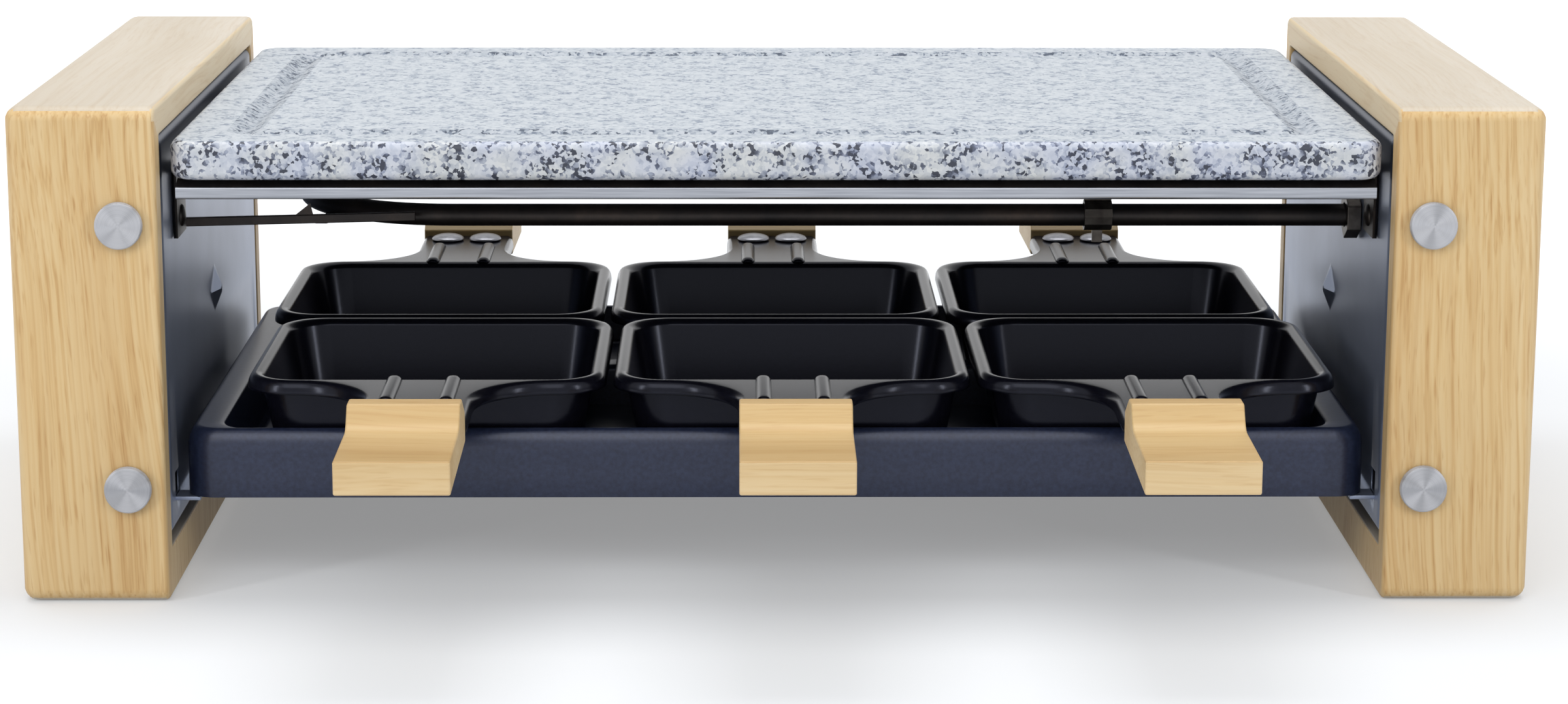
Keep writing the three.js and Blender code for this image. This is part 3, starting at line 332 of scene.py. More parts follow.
def panel_sheet():
    """The tray as seen from the bay. A point of the flat blank is brought to the tray by the
    nearest point of the box that lies one bend radius inside it, plus one bend radius outwards.
    The diamond adds a pyramid of height rise x (1 - |y| / half depth - |z| / half height), with
    its tip pressed flat, and the grid is fine round it. The windows are where the tabs were bent
    out."""
    bend = PANEL_BEND * np.tan(np.linspace(0, np.pi / 4, 5))
    windows = TAB_Y + np.array([-TAB_HALF, 0.0, TAB_HALF])
    y = np.concatenate([-(PANEL_HALF - PANEL_BEND) - bend[::-1], -windows[::-1],
                        np.linspace(-FINE_HALF_Y, FINE_HALF_Y, 41), windows,
                        PANEL_HALF - PANEL_BEND + bend])
    z = np.concatenate([PANEL_LOW + PANEL_BEND - bend[::-1], [TAB_TOP, TAB_TOP + TAB_REACH],
                        np.linspace(BOSS_Z - FINE_HALF_Z, BOSS_Z + FINE_HALF_Z, 25),
                        PANEL_TOP - PANEL_BEND + bend])
    deep = HOUSING_INNER + PANEL_BEND + np.concatenate([-bend[1:][::-1], [0.0, PANEL_FLANGE - PANEL_BEND]])
    low = np.array([HOUSING_INNER + PANEL_BEND, -PANEL_HALF + PANEL_BEND, PANEL_LOW + PANEL_BEND])
    high = np.array([HOUSING_INNER + 90.0, PANEL_HALF - PANEL_BEND, PANEL_TOP - PANEL_BEND])
    points, faces, start = [], [], 0
    blanks = [np.stack(np.meshgrid([HOUSING_INNER], y, z, indexing="ij"), -1)[0]]
    for edge_y in (-PANEL_HALF, PANEL_HALF):
        grid = np.stack(np.meshgrid(deep, [edge_y], z, indexing="ij"), -1)[:, 0]
        blanks.append(grid if edge_y > 0 else grid[::-1])
    for edge_z in (PANEL_LOW, PANEL_TOP):
        grid = np.stack(np.meshgrid(deep, y, [edge_z], indexing="ij"), -1)[:, :, 0]
        blanks.append(grid[::-1] if edge_z > PANEL_LOW else grid)
    for index, blank in enumerate(blanks):
        core = np.clip(blank, low, high)
        away = blank - core
        made = core + PANEL_BEND * away / np.linalg.norm(away, axis=-1, keepdims=True)
        if index == 0:
            slope = 1 - np.abs(blank[..., 1]) / BOSS_HALF_Y - np.abs(blank[..., 2] - BOSS_Z) / BOSS_HALF_Z
            lift = np.where(slope > 0, slope, 0) * BOSS_RISE
            made[..., 0] -= np.minimum(lift, BOSS_FLAT * BOSS_RISE)
        cells = sheet_grid(*made.shape[:2], start)
        if index == 0:
            middle_y = np.add.outer((y[:-1] + y[1:]) / 2, np.zeros(len(z) - 1)).ravel()
            middle_z = np.add.outer(np.zeros(len(y) - 1), (z[:-1] + z[1:]) / 2).ravel()
            beside = np.abs(np.abs(middle_y) - TAB_Y) < TAB_HALF
            cells = cells[~(beside & (middle_z > TAB_TOP) & (middle_z < TAB_TOP + TAB_REACH))]
        points.append(made.reshape(-1, 3))
        faces.append(cells)
        start += len(points[-1])
    return np.concatenate(points), np.concatenate(faces)


def block_rings(low, high, edge):
    """A bar with its edges rounded: rounded rectangles in the plane across X, carried along X."""
    turn = np.linspace(0, np.pi / 2, 4)
    inset = edge * (1 - np.sin(turn))
    x = np.concatenate([low[0] + edge * (1 - np.cos(turn)), high[0] - edge * (1 - np.cos(turn[::-1]))])
    inset = np.concatenate([inset, inset[::-1]])
    yz = corner_ring(low[1] + inset, high[1] - inset, low[2] + inset, high[2] - inset,
                     np.maximum(edge - inset, 0.01) + 0.01, 3)
    return np.concatenate([np.broadcast_to(x[:, None, None], (*yz.shape[:2], 1)), yz], -1)


for hand, side in ((-1, "left"), (1, "right")):
    points, faces = panel_sheet()
    panel = make_piece(f"{side}_panel_tray", [half_turn(points, hand)], faces.tolist(), [panel_paint],
                       "frame", [f"{side}_side_panel"])
    merge = panel.modifiers.new("seams", "WELD")
    merge.merge_threshold = SEAM / 1000
    gauge = panel.modifiers.new("gauge", "SOLIDIFY")
    gauge.thickness, gauge.offset = SHEET / 1000, -1
    tabs = [half_turn(block_rings((HOUSING_INNER - TAB_REACH, y - TAB_HALF, TAB_TOP - SHEET),
                                  (HOUSING_INNER + SHEET / 2, y + TAB_HALF, TAB_TOP), 0.3), hand)
            for y in (-TAB_Y, TAB_Y)]
    make_piece(f"{side}_panel_tabs", tabs, skins(tabs), [panel_paint], "frame")


# Housing bolts
# Four M5 bolts a side hold each tray and housing together. Their flat heads are turned in a
# lathe, which leaves fine circles that split the light into two bright fans.
BOLT_X, BOLT_HEIGHTS, BOLT_SEAT, BOLT_SIDES = 180.3, {"lower": 33.0, "upper": 107.5}, 105.3, 40
BOLT_SHANK, BOLT_LENGTH, HEAD_RADIUS, HEAD_HEIGHT, HEAD_EDGE = 2.5, 20.0, 6.5, 2.4, 0.5

turned_steel, tree, shader = start_material(
    "turned_stainless_steel", {"Metallic": 1.0, "Roughness": 0.5, "Anisotropic": 0.93,
                               "Anisotropic Rotation": 0.25})
# Stainless steel, faced in a lathe. V is the radius in millimetres, so the circles lie 0.1 mm
# apart, as the tool's feed leaves them.
place = add(tree, "ShaderNodeUVMap", uv_map="turning").outputs["UV"]
circles = add(tree, "ShaderNodeMapping", {"Vector": place, "Scale": (0.4, 9.0, 1.0)}).outputs[0]
circles = add(tree, "ShaderNodeTexNoise", {"Vector": circles, "Scale": 1.0, "Detail": 4.0}).outputs["Fac"]
colour = add(tree, "ShaderNodeValToRGB", {"Fac": circles},
             stops=[(0.3, "a4a5aa"), (0.7, "b6b7bb")]).outputs["Color"]
tree.links.new(colour, shader.inputs["Base Color"])
tangent = add(tree, "ShaderNodeTangent", direction_type="UV_MAP", uv_map="turning").outputs[0]
tree.links.new(tangent, shader.inputs["Tangent"])


def turned_rings(profile, centre, axis, sides=BOLT_SIDES):
    """A profile of (radius, height) points turned round an axis through centre."""
    profile = np.array(profile, float)
    axis = np.array(axis, float)
    first = np.cross(axis, (0, 0, 1) if abs(axis[2]) < 0.5 else (1, 0, 0))
    first /= np.linalg.norm(first)
    second = np.cross(axis, first)
    angle = np.linspace(0, 2 * np.pi, sides, endpoint=False)
    round_it = np.cos(angle)[:, None] * first + np.sin(angle)[:, None] * second
    return np.array(centre) + profile[:, :1, None] * round_it + profile[:, 1:, None] * axis


turn = np.linspace(0, np.pi / 2, 6)
profile = np.concatenate([
    [(BOLT_SHANK, -BOLT_LENGTH), (BOLT_SHANK, 0.0), (HEAD_RADIUS - 0.2, 0.0), (HEAD_RADIUS, 0.2)],
    np.stack([HEAD_RADIUS - HEAD_EDGE * (1 - np.cos(turn)),
              HEAD_HEIGHT - HEAD_EDGE * (1 - np.sin(turn))], -1),
    [(radius, HEAD_HEIGHT) for radius in (5.0, 4.0, 3.0, 2.0, 1.0, 0.3)],
])
around = np.linspace(0, 1, BOLT_SIDES, endpoint=False)[None, :]
layout = np.stack(np.broadcast_arrays(around, profile[:, :1]), -1).reshape(-1, 2)
for hand, side in ((-1, "left"), (1, "right")):
    for facing, end in ((-1, "front"), (1, "rear")):
        for level, z in BOLT_HEIGHTS.items():
            rings = turned_rings(profile, (hand * BOLT_X, facing * BOLT_SEAT, z), (0, facing, 0))
            bolt = make_piece(f"{side}_{end}_{level}_bolt_turned", [rings], skin(rings), [turned_steel],
                              "frame", [f"{side}_{end}_{level}_bolt"])
            corners = np.empty(len(bolt.data.loops), np.int32)
            bolt.data.loops.foreach_get("vertex_index", corners)
            bolt.data.uv_layers.new(name="turning").data.foreach_set("uv", layout[corners].ravel())


# Stone rails
# Two strips of polished stainless steel run from tray to tray under the stone's long edges. Their
# lips are folded down, and an ear at each end is riveted to the tray. Heat has browned the ears,
# and the slope above the lip takes the same dark steel as a painted shade under the stone.
RAIL_FRONT, RAIL_BACK, RAIL_TOP, RAIL_END, RAIL_LIP = 99.5, 58.0, 118.8, 165.5, 5.2
SLOPE_START, SLOPE_DROP = 95.0, 1.9
EAR_FOOT, EAR_CENTRE, EAR_HALF, EAR_DROP, EAR_FACE = 158.0, 70.0, 8.0, 20.0, 169.7
EAR_RIVET, EAR_RIVET_Z = 3.2, 104.1

polished_steel, tree, shader = start_material(
    "polished_stainless_steel", {"Metallic": 1.0, "Roughness": 0.28})
# Rolled bright strip: long faint scratches along X, so its glints are drawn out sideways. They are
# 0.6 mm apart here, further than real ones, so that they show.
place = add(tree, "ShaderNodeTexCoord").outputs["Object"]
drawn = add(tree, "ShaderNodeMapping", {"Vector": place, "Scale": (0.03, 1, 1)}).outputs[0]
scratch = add(tree, "ShaderNodeTexNoise", {"Vector": drawn, "Scale": 1600.0, "Detail": 3.0}).outputs["Fac"]
colour = add(tree, "ShaderNodeValToRGB", {"Fac": scratch},
             stops=[(0.3, "84878e"), (0.7, "9b9ea5")]).outputs["Color"]
tree.links.new(colour, shader.inputs["Base Color"])
relief = add(tree, "ShaderNodeBump", {"Height": scratch, "Strength": 0.08, "Distance": 0.00005}).outputs[0]
tree.links.new(relief, shader.inputs["Normal"])

# On the rails' slope this dark steel stands in as a painted shade under the stone.
heat_scale_and_shade_steel, tree, shader = start_material(
    "heat_browned_steel_and_painted_shade", {"Metallic": 0.65, "Roughness": 0.4, "Specular IOR Level": 0.5})
# Steel that was heated in air: a brown-black scale, thicker and browner in patches of about 20 mm.
place = add(tree, "ShaderNodeTexCoord").outputs["Object"]
scale_marks = add(tree, "ShaderNodeTexNoise", {"Vector": place, "Scale": 55.0, "Detail": 6.0,
                                               "Roughness": 0.65}).outputs["Fac"]
colour = add(tree, "ShaderNodeValToRGB", {"Fac": scale_marks},
             stops=[(0.32, "1c1a1b"), (0.55, "2b2624"), (0.75, "3d332d")]).outputs["Color"]
tree.links.new(colour, shader.inputs["Base Color"])
relief = add(tree, "ShaderNodeBump", {"Height": scale_marks, "Strength": 0.2, "Distance": 0.0002}).outputs[0]
tree.links.new(relief, shader.inputs["Normal"])


def rounded_path(corners, radii, steps=6):
    """A bent line through corners. Each bend is an arc that touches both of its sides."""
    corners, radii = np.array(corners, float), np.array(radii, float)
    before = corners[:-2] - corners[1:-1]
    after = corners[2:] - corners[1:-1]
    before /= np.linalg.norm(before, axis=1, keepdims=True)
    after /= np.linalg.norm(after, axis=1, keepdims=True)
    half = np.arccos(np.clip((before * after).sum(1), -1, 1)) / 2
    reach = radii / np.tan(half)
    share = np.linspace(0, 1, steps + 1)[None, :, None]
    start = (corners[1:-1] + before * reach[:, None])[:, None]
    end = (corners[1:-1] + after * reach[:, None])[:, None]
    middle = before + after
    middle /= np.linalg.norm(middle, axis=1, keepdims=True)
    centre = (corners[1:-1] + middle * (radii / np.sin(half))[:, None])[:, None]
    chord = start + share * (end - start) - centre
    bends = centre + radii[:, None, None] * chord / np.linalg.norm(chord, axis=-1, keepdims=True)
    return np.concatenate([corners[:1], bends.reshape(-1, corners.shape[1]), corners[-1:]])


def rail_sheets():
    """The strip: its section, bent once at the lip, carried along X. Each ear: a flat foot bent
    down into a hanging tab, carried along Y over its width."""
    section = rounded_path([(-RAIL_BACK, RAIL_TOP), (-SLOPE_START, RAIL_TOP),
                            (-RAIL_FRONT, RAIL_TOP - SLOPE_DROP), (-RAIL_FRONT, RAIL_TOP - RAIL_LIP),
                            (-RAIL_FRONT + 1.6, RAIL_TOP - RAIL_LIP)], [2.0, 0.7, 0.8])
    x = np.linspace(-RAIL_END, RAIL_END, 12)
    strip = np.concatenate([np.broadcast_to(x[:, None, None], (12, len(section), 1)),
                            np.broadcast_to(section, (12, *section.shape))], -1)
    sheets = [strip]
    for hand in (-1, 1):
        bent = rounded_path([(hand * EAR_FOOT, RAIL_TOP - SEAM), (hand * EAR_FACE, RAIL_TOP - SEAM),
                             (hand * EAR_FACE, RAIL_TOP - EAR_DROP)], [1.6])
        y = -EAR_CENTRE + np.array([-EAR_HALF, EAR_HALF]) * hand
        ear = np.empty((2, len(bent), 3))
        ear[..., 0], ear[..., 2] = bent[:, 0], bent[:, 1]
        ear[..., 1] = y[:, None]
        sheets.append(ear)
    return sheets


for turn, end in ((1, "front"), (-1, "rear")):
    sheets = [half_turn(sheet, turn) for sheet in rail_sheets()]
    faces = np.concatenate([sheet_grid(*sheet.shape[:2], start)
                            for sheet, start in zip(sheets, starts(sheets))])
    rail = make_piece(f"{end}_rail_strip", sheets, faces.tolist(), [polished_steel, heat_scale_and_shade_steel], "frame",
                      [f"{end}_rail"], wall=SHEET)
    # The ears take the browned steel, and the slope above the lip takes it as a painted shade.
    for face in rail.data.polygons:
        x, y, z = np.abs(face.center) * 1000
        painted_shade_slope = y > SLOPE_START - 0.5 and z > RAIL_TOP - SLOPE_DROP
        face.material_index = int(x > RAIL_END or painted_shade_slope)
    dome = np.linspace(0.05, np.pi / 2, 5)
    profile = np.concatenate([np.stack([EAR_RIVET * np.sin(dome), 1.2 + 1.2 * np.cos(dome)], -1),
                              [(EAR_RIVET, 0.6), (1.6, 0.6), (1.6, -2.4)]])
    heads = [turned_rings(profile[::-1], (hand * EAR_FACE, -turn * EAR_CENTRE, EAR_RIVET_Z),
                          (-hand, 0, 0), 24) for hand in (-1, 1)]
    make_piece(f"{end}_rail_rivets", heads, skins(heads), [heat_scale_and_shade_steel], "frame")


# Heating element
# One sheathed tube is bent to a U on a former, and its steel has gone brown-black with heat.
# Both legs pass through collars into the right housing, where their pins meet the leads.
ELEMENT_Z, ELEMENT_RADIUS, LEG, BEND_X, LEG_END = 100.0, 3.25, 46.0, -93.7, 178.0
PIN_RADIUS, PIN_LENGTH, PIN_EDGE = 1.5, 10.0, 0.4


def tube_rings(path, radius, sides=20):
    """A round tube along a level path. Each ring lies across the path's direction there."""
    along = np.gradient(path, axis=0)
    along /= np.linalg.norm(along, axis=1, keepdims=True)
    side = np.cross(along, (0, 0, 1))
    side /= np.linalg.norm(side, axis=1, keepdims=True)
    angle = np.linspace(0, 2 * np.pi, sides, endpoint=False)
    up = np.cross(along, side)
    ring = np.cos(angle)[None, :, None] * side[:, None] + np.sin(angle)[None, :, None] * up[:, None]
    return path[:, None] + radius * ring


angle = np.linspace(np.pi / 2, 3 * np.pi / 2, 41)
leg_x = np.linspace(LEG_END, BEND_X, 14)[:-1]
path = np.concatenate([
    np.stack([leg_x, np.full(13, LEG), np.full(13, ELEMENT_Z)], -1),
    np.stack([BEND_X + LEG * np.cos(angle), LEG * np.sin(angle), np.full(41, ELEMENT_Z)], -1),
    np.stack([leg_x[::-1], np.full(13, -LEG), np.full(13, ELEMENT_Z)], -1),
])
parts = [tube_rings(path, ELEMENT_RADIUS)]
pin = [(PIN_RADIUS, -1.0), (PIN_RADIUS, PIN_LENGTH - PIN_EDGE), (PIN_RADIUS - PIN_EDGE, PIN_LENGTH)]
parts += [turned_rings(pin, (LEG_END, y, ELEMENT_Z), (1, 0, 0), 16) for y in (-LEG, LEG)]
make_piece("heating_tube", parts, skins(parts), [heat_scale_and_shade_steel], "frame", ["heating_element"])


# Small steel fittings of the element
# Collars and clips are turned or stamped from stainless steel, and the clips hang from the rails.
# The bend support is a thin bar, hooked through the left tray, with an arm that reaches under the
# tube's bend and a finger that stands up in front of it.
stamped_steel, tree, shader = start_material(
    "stamped_stainless_steel", {"Metallic": 0.9, "Roughness": 0.38})
# Stainless sheet that heat has tinted straw to grey, in patches of a few millimetres.
place = add(tree, "ShaderNodeTexCoord").outputs["Object"]
tint = add(tree, "ShaderNodeTexNoise", {"Vector": place, "Scale": 240.0, "Detail": 4.0}).outputs["Fac"]
colour = add(tree, "ShaderNodeValToRGB", {"Fac": tint},
             stops=[(0.3, "393532"), (0.7, "54504c")]).outputs["Color"]
tree.links.new(colour, shader.inputs["Base Color"])


def dress(node, material, edge=0.2):
    """Gives a CAD node its material, joins its loose triangles and breaks its sharp edges."""
    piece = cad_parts[node]
    for place in piece.material_slots:
        place.material = material
    join = piece.modifiers.new("join", "WELD")
    join.merge_threshold = 0.00001
    if edge:
        broken = piece.modifiers.new("broken_edges", "BEVEL")
        broken.width, broken.segments, broken.limit_method = edge / 1000, 2, "ANGLE"
        broken.angle_limit = math.radians(40)
    return piece


for end in ("front", "rear"):
    dress(f"{end}_element_clip", stamped_steel, 0.1)
    dress(f"{end}_element_collar", stamped_steel, 0.3)


def plate(outline, low, high):
    """An outline in x and z, clockwise as seen from the front, carried along Y from low to high."""
    xz = np.array(outline, float)
    rings = np.empty((2, len(xz), 3))
    rings[..., 0], rings[..., 2] = xz[:, 0], xz[:, 1]
    rings[..., 1] = np.array([[low], [high]])
    return rings


SUPPORT_START, SUPPORT_END, SUPPORT_RISE = -172.4, -104.0, 0.025
ARM_LEFT, ARM_RIGHT, ARM_START, ARM_FALL = -133.0, -129.4, -51.8, 0.133

bar = block_rings((SUPPORT_START, -52.75, 97.6), (SUPPORT_END, -51.25, 100.2), 0.3)
bar[..., 2] += SUPPORT_RISE * (bar[..., 0] - SUPPORT_START)
arm = block_rings((ARM_LEFT, ARM_START, 98.4), (ARM_RIGHT, -33.0, 99.2), 0.2)
arm[..., 2] -= ARM_FALL * (arm[..., 1] - ARM_START)
rest = block_rings((ARM_LEFT, -33.6, 95.9), (ARM_RIGHT, -14.0, 96.7), 0.2)
stop = block_rings((ARM_LEFT, -14.8, 96.1), (ARM_RIGHT, -13.8, 101.0), 0.2)
finger = plate([(-139.0, 100.6), (-134.2, 104.4), (-133.4, 100.8)], -52.4, -51.6)
parts = [bar, arm, rest, stop, finger]
make_piece("bend_support_strip", parts, skins(parts), [heat_scale_and_shade_steel], "frame",
           ["bend_support"])


# Mains parts inside and behind the right housing
# Steatite insulators, a terminal block and a thermal cut-out sit behind the tray. Nylon makes the
# cable gland and the snap-in rocker switch in the rear wall, and glass fibre sleeves the leads.
steatite, tree, shader = start_material("glazed_steatite", {"Roughness": 0.3})
# Fired soapstone under a clear glaze: off-white, with a faint warm blush from the kiln.
place = add(tree, "ShaderNodeTexCoord").outputs["Object"]
blush = add(tree, "ShaderNodeTexNoise", {"Vector": place, "Scale": 130.0, "Detail": 3.0}).outputs["Fac"]
colour = add(tree, "ShaderNodeValToRGB", {"Fac": blush},
             stops=[(0.3, "e6e0d2"), (0.7, "f1ede3")]).outputs["Color"]
tree.links.new(colour, shader.inputs["Base Color"])

nylon, tree, shader = start_material("moulded_nylon", {"Roughness": 0.48})
# Spark-eroded mould texture at 0.25 mm, which keeps black nylon from shining.
place = add(tree, "ShaderNodeTexCoord").outputs["Object"]
grain = add(tree, "ShaderNodeTexNoise", {"Vector": place, "Scale": 4000.0, "Detail": 1.0}).outputs["Fac"]
colour = add(tree, "ShaderNodeValToRGB", {"Fac": grain},
             stops=[(0.3, "19191b"), (0.7, "222225")]).outputs["Color"]
tree.links.new(colour, shader.inputs["Base Color"])
relief = add(tree, "ShaderNodeBump", {"Height": grain, "Strength": 0.3, "Distance": 0.00004}).outputs[0]
tree.links.new(relief, shader.inputs["Normal"])

glass_sleeve, tree, shader = start_material("braided_glass_fibre", {"Roughness": 0.75})
# Varnished glass braid: cream bundles 0.6 mm across with brownish gaps, and no shine.
place = add(tree, "ShaderNodeTexCoord").outputs["Object"]
braid = add(tree, "ShaderNodeTexVoronoi", {"Vector": place, "Scale": 1700.0}).outputs["Distance"]
colour = add(tree, "ShaderNodeValToRGB", {"Fac": braid},
             stops=[(0.1, "cfc8b6"), (0.7, "9d9684")]).outputs["Color"]
tree.links.new(colour, shader.inputs["Base Color"])
relief = add(tree, "ShaderNodeBump", {"Height": braid, "Strength": 0.5, "Distance": 0.0001}).outputs[0]
tree.links.new(relief, shader.inputs["Normal"])

for end in ("front", "rear"):
    dress(f"{end}_element_insulator", steatite, 0.25)
    dress(f"{end}_element_lead", glass_sleeve, 0)
dress("thermal_cutout", steatite, 0.3)
dress("terminal_block", steatite, 0.4)
dress("gland_nut", nylon, 0.3)
dress("switch_frame", nylon, 0.3)
dress("power_rocker", nylon, 0.25)

turn = np.linspace(0, np.pi / 2, 5)
profile = np.concatenate([
    [(4.0, -17.8), (6.0, -17.8), (6.0, 0.0), (7.3, 0.0), (7.5, 0.2)],
    np.stack([6.5 + np.cos(turn), 2.0 + np.sin(turn)], -1),
    np.stack([4.6 - 0.6 * np.sin(turn), 2.4 + 0.6 * np.cos(turn)], -1),
    [(4.0, -17.8)],
])
rings = turned_rings(profile, (MAINS_X, BOLT_SEAT, GLAND_Z), (0, 1, 0))[:-1]
# The last faces run back to the first ring, which closes the bore.
faces = np.array(skin(np.concatenate([rings, rings[:1]]), False, False)) % rings[..., 0].size
make_piece("cable_gland_moulded", [rings], faces.tolist(), [nylon], "frame", ["cable_gland"])


# Cooking stone
# A slab of light grey granite, sawn, ground smooth on top and rounded along its edges, with a
# juice groove milled round it. White feldspar, blue-grey quartz and black mica make the specks.
STONE_HALF_X, STONE_HALF_Y, STONE_LOW, STONE_TOP = 167.2, 102.0, 119.1, 130.0
STONE_EDGE, STONE_CORNER = 2.5, 8.0
GROOVE_INSET, GROOVE_WIDTH, GROOVE_DEPTH = 13.7, 9.6, 1.8


def granite_finish(name, roughness, shades, grit, clouds=("ffffff", "ffffff")):
    """Crystals 1 mm across, each of one shade. Slow clouds gather the dark ones into clusters, and
    clouds of about 13 mm tint the ground, from warm feldspar to cool quartz."""
    material, tree, shader = start_material(name, {"Roughness": roughness})
    place = add(tree, "ShaderNodeTexCoord").outputs["Object"]
    shift = add(tree, "ShaderNodeTexNoise", {"Vector": place, "Scale": 600.0, "Detail": 2.0}).outputs["Color"]
    ragged = add(tree, "ShaderNodeVectorMath", {0: shift, 1: (0.002, 0.002, 0.002), 2: place},
                 operation="MULTIPLY_ADD").outputs[0]
    crystal = add(tree, "ShaderNodeTexVoronoi", {"Vector": ragged, "Scale": 950.0}).outputs["Color"]
    crystal = add(tree, "ShaderNodeSeparateColor", {0: crystal}).outputs[0]
    cluster = add(tree, "ShaderNodeTexNoise", {"Vector": place, "Scale": 170.0, "Detail": 3.0}).outputs["Fac"]
    mix = add(tree, "ShaderNodeMath", {0: cluster, 1: 1.5, 2: -0.75}, operation="MULTIPLY_ADD").outputs[0]
    mix = add(tree, "ShaderNodeMath", {0: crystal, 1: mix}, operation="ADD").outputs[0]
    speck = add(tree, "ShaderNodeValToRGB", {"Fac": mix},
                stops=list(zip((0.0, 0.55, 0.76, 0.88, 0.97), shades))).outputs["Color"]
    ground = add(tree, "ShaderNodeTexNoise", {"Vector": place, "Scale": 75.0, "Detail": 1.0}).outputs["Fac"]
    ground = add(tree, "ShaderNodeValToRGB", {"Fac": ground},
                 stops=[(0.35, clouds[0]), (0.62, clouds[1])]).outputs["Color"]
    speck = add(tree, "ShaderNodeMix", {0: 1.0, 6: speck, 7: ground},
                data_type="RGBA", blend_type="MULTIPLY").outputs[2]
    tree.links.new(speck, shader.inputs["Base Color"])
    relief = add(tree, "ShaderNodeBump", {"Height": mix, "Strength": grit, "Distance": 0.0003}).outputs[0]
    tree.links.new(relief, shader.inputs["Normal"])
    return material


# The fine grinding of the top greys the specks, and its copy is also darker, a painted shade. The
# rounded edge shows them in full, and the milled groove is rough and darker, a painted shade in the hollow.
ground_granite_painted_shade = granite_finish(
    "ground_granite_painted_shade", 0.42, ["bbc1c7", "afb6be", "a0a9b3", "8793a2", "677488"], 0.1)
rounded_granite = granite_finish(
    "rounded_granite", 0.42, ["d6d9de", "c4c9d2", "9fa6b6", "5a6175", "2f3443"], 0.1, ("efefeb", "e3e6ef"))
milled_granite_painted_shade = granite_finish(
    "milled_granite_painted_shade", 0.75, ["b6bbc2", "a7aeb6", "8e96a1", "6a7483", "49515f"], 0.6)


def stone_rings():
    """Rounded rectangles from the underside, over its edge, up the side, over the top edge, and
    through the groove, whose section is one wave of a cosine. The groove's corners tighten from
    8 mm at its outer edge to 4 mm at its inner one."""
    turn = np.linspace(0, np.pi / 2, 6)
    groove = np.linspace(0, 1, 13)
    inset = np.concatenate([STONE_EDGE * (1 - np.sin(turn)), STONE_EDGE * (1 - np.cos(turn)),
                            GROOVE_INSET + GROOVE_WIDTH * groove])
    z = np.concatenate([STONE_LOW + STONE_EDGE * (1 - np.cos(turn)),
                        STONE_TOP - STONE_EDGE * (1 - np.sin(turn)),
                        STONE_TOP - GROOVE_DEPTH / 2 * (1 - np.cos(2 * np.pi * groove))])
    radius = np.where(inset < GROOVE_INSET, STONE_CORNER - inset, STONE_CORNER - (inset - 14.0) * 4 / 9)
    xy = corner_ring(-STONE_HALF_X + inset, STONE_HALF_X - inset, -STONE_HALF_Y + inset, STONE_HALF_Y - inset,
                     radius, 8)
    return np.concatenate([xy, np.broadcast_to(z[:, None, None], (*xy.shape[:2], 1))], -1)


rings = stone_rings()
slab = make_piece("granite_slab", [rings], skin(rings), [ground_granite_painted_shade, rounded_granite, milled_granite_painted_shade],
                  "stone", ["cooking_stone"])
# The top takes its darker copy, a painted shade, and the groove its darker copy, a painted shade in the
# hollow.
for face in slab.data.polygons:
    x, y, z = np.abs(face.center) * 1000
    past_edge = x < STONE_HALF_X - GROOVE_INSET + 1 and y < STONE_HALF_Y - GROOVE_INSET + 2
    in_groove = past_edge and STONE_TOP - GROOVE_DEPTH - 0.6 < z < STONE_TOP - SEAM
    face.material_index = 2 if in_groove else int(face.normal.z < 0.9)


# Pan deck
# One pressing of steel sheet with a skirt folded down all round, a sunk floor and a ridge between
# the two rows of pans. A charcoal non-stick coat with a fine orange-peel covers it.
DECK_HALF_X, DECK_HALF_Y, DECK_BOTTOM, DECK_TOP = 166.85, 90.5, 26.7, 46.2
DECK_EDGE, DECK_EDGE_HEIGHT, DECK_RIM, DECK_SINK, DECK_SLOPE = 3.0, 6.5, 4.0, 12.0, 2.1
RIDGE_HALF, RIDGE_LEAN, RIDGE_END = 4.9, 0.9, 157.0

deck_coat, tree, shader = start_material("charcoal_non_stick_coat", {"Metallic": 0.2, "Roughness": 0.33})
# Sprayed and baked on: blue-charcoal with a little metal flake, in an orange-peel of about 1 mm.
place = add(tree, "ShaderNodeTexCoord").outputs["Object"]
shade = add(tree, "ShaderNodeTexNoise", {"Vector": place, "Scale": 900.0, "Detail": 3.0}).outputs["Fac"]
colour = add(tree, "ShaderNodeValToRGB", {"Fac": shade},
             stops=[(0.25, "1a2035"), (0.75, "272f47")]).outputs["Color"]
tree.links.new(colour, shader.inputs["Base Color"])
relief = add(tree, "ShaderNodeBump", {"Height": shade, "Strength": 0.25, "Distance": 0.00008}).outputs[0]
tree.links.new(relief, shader.inputs["Normal"])


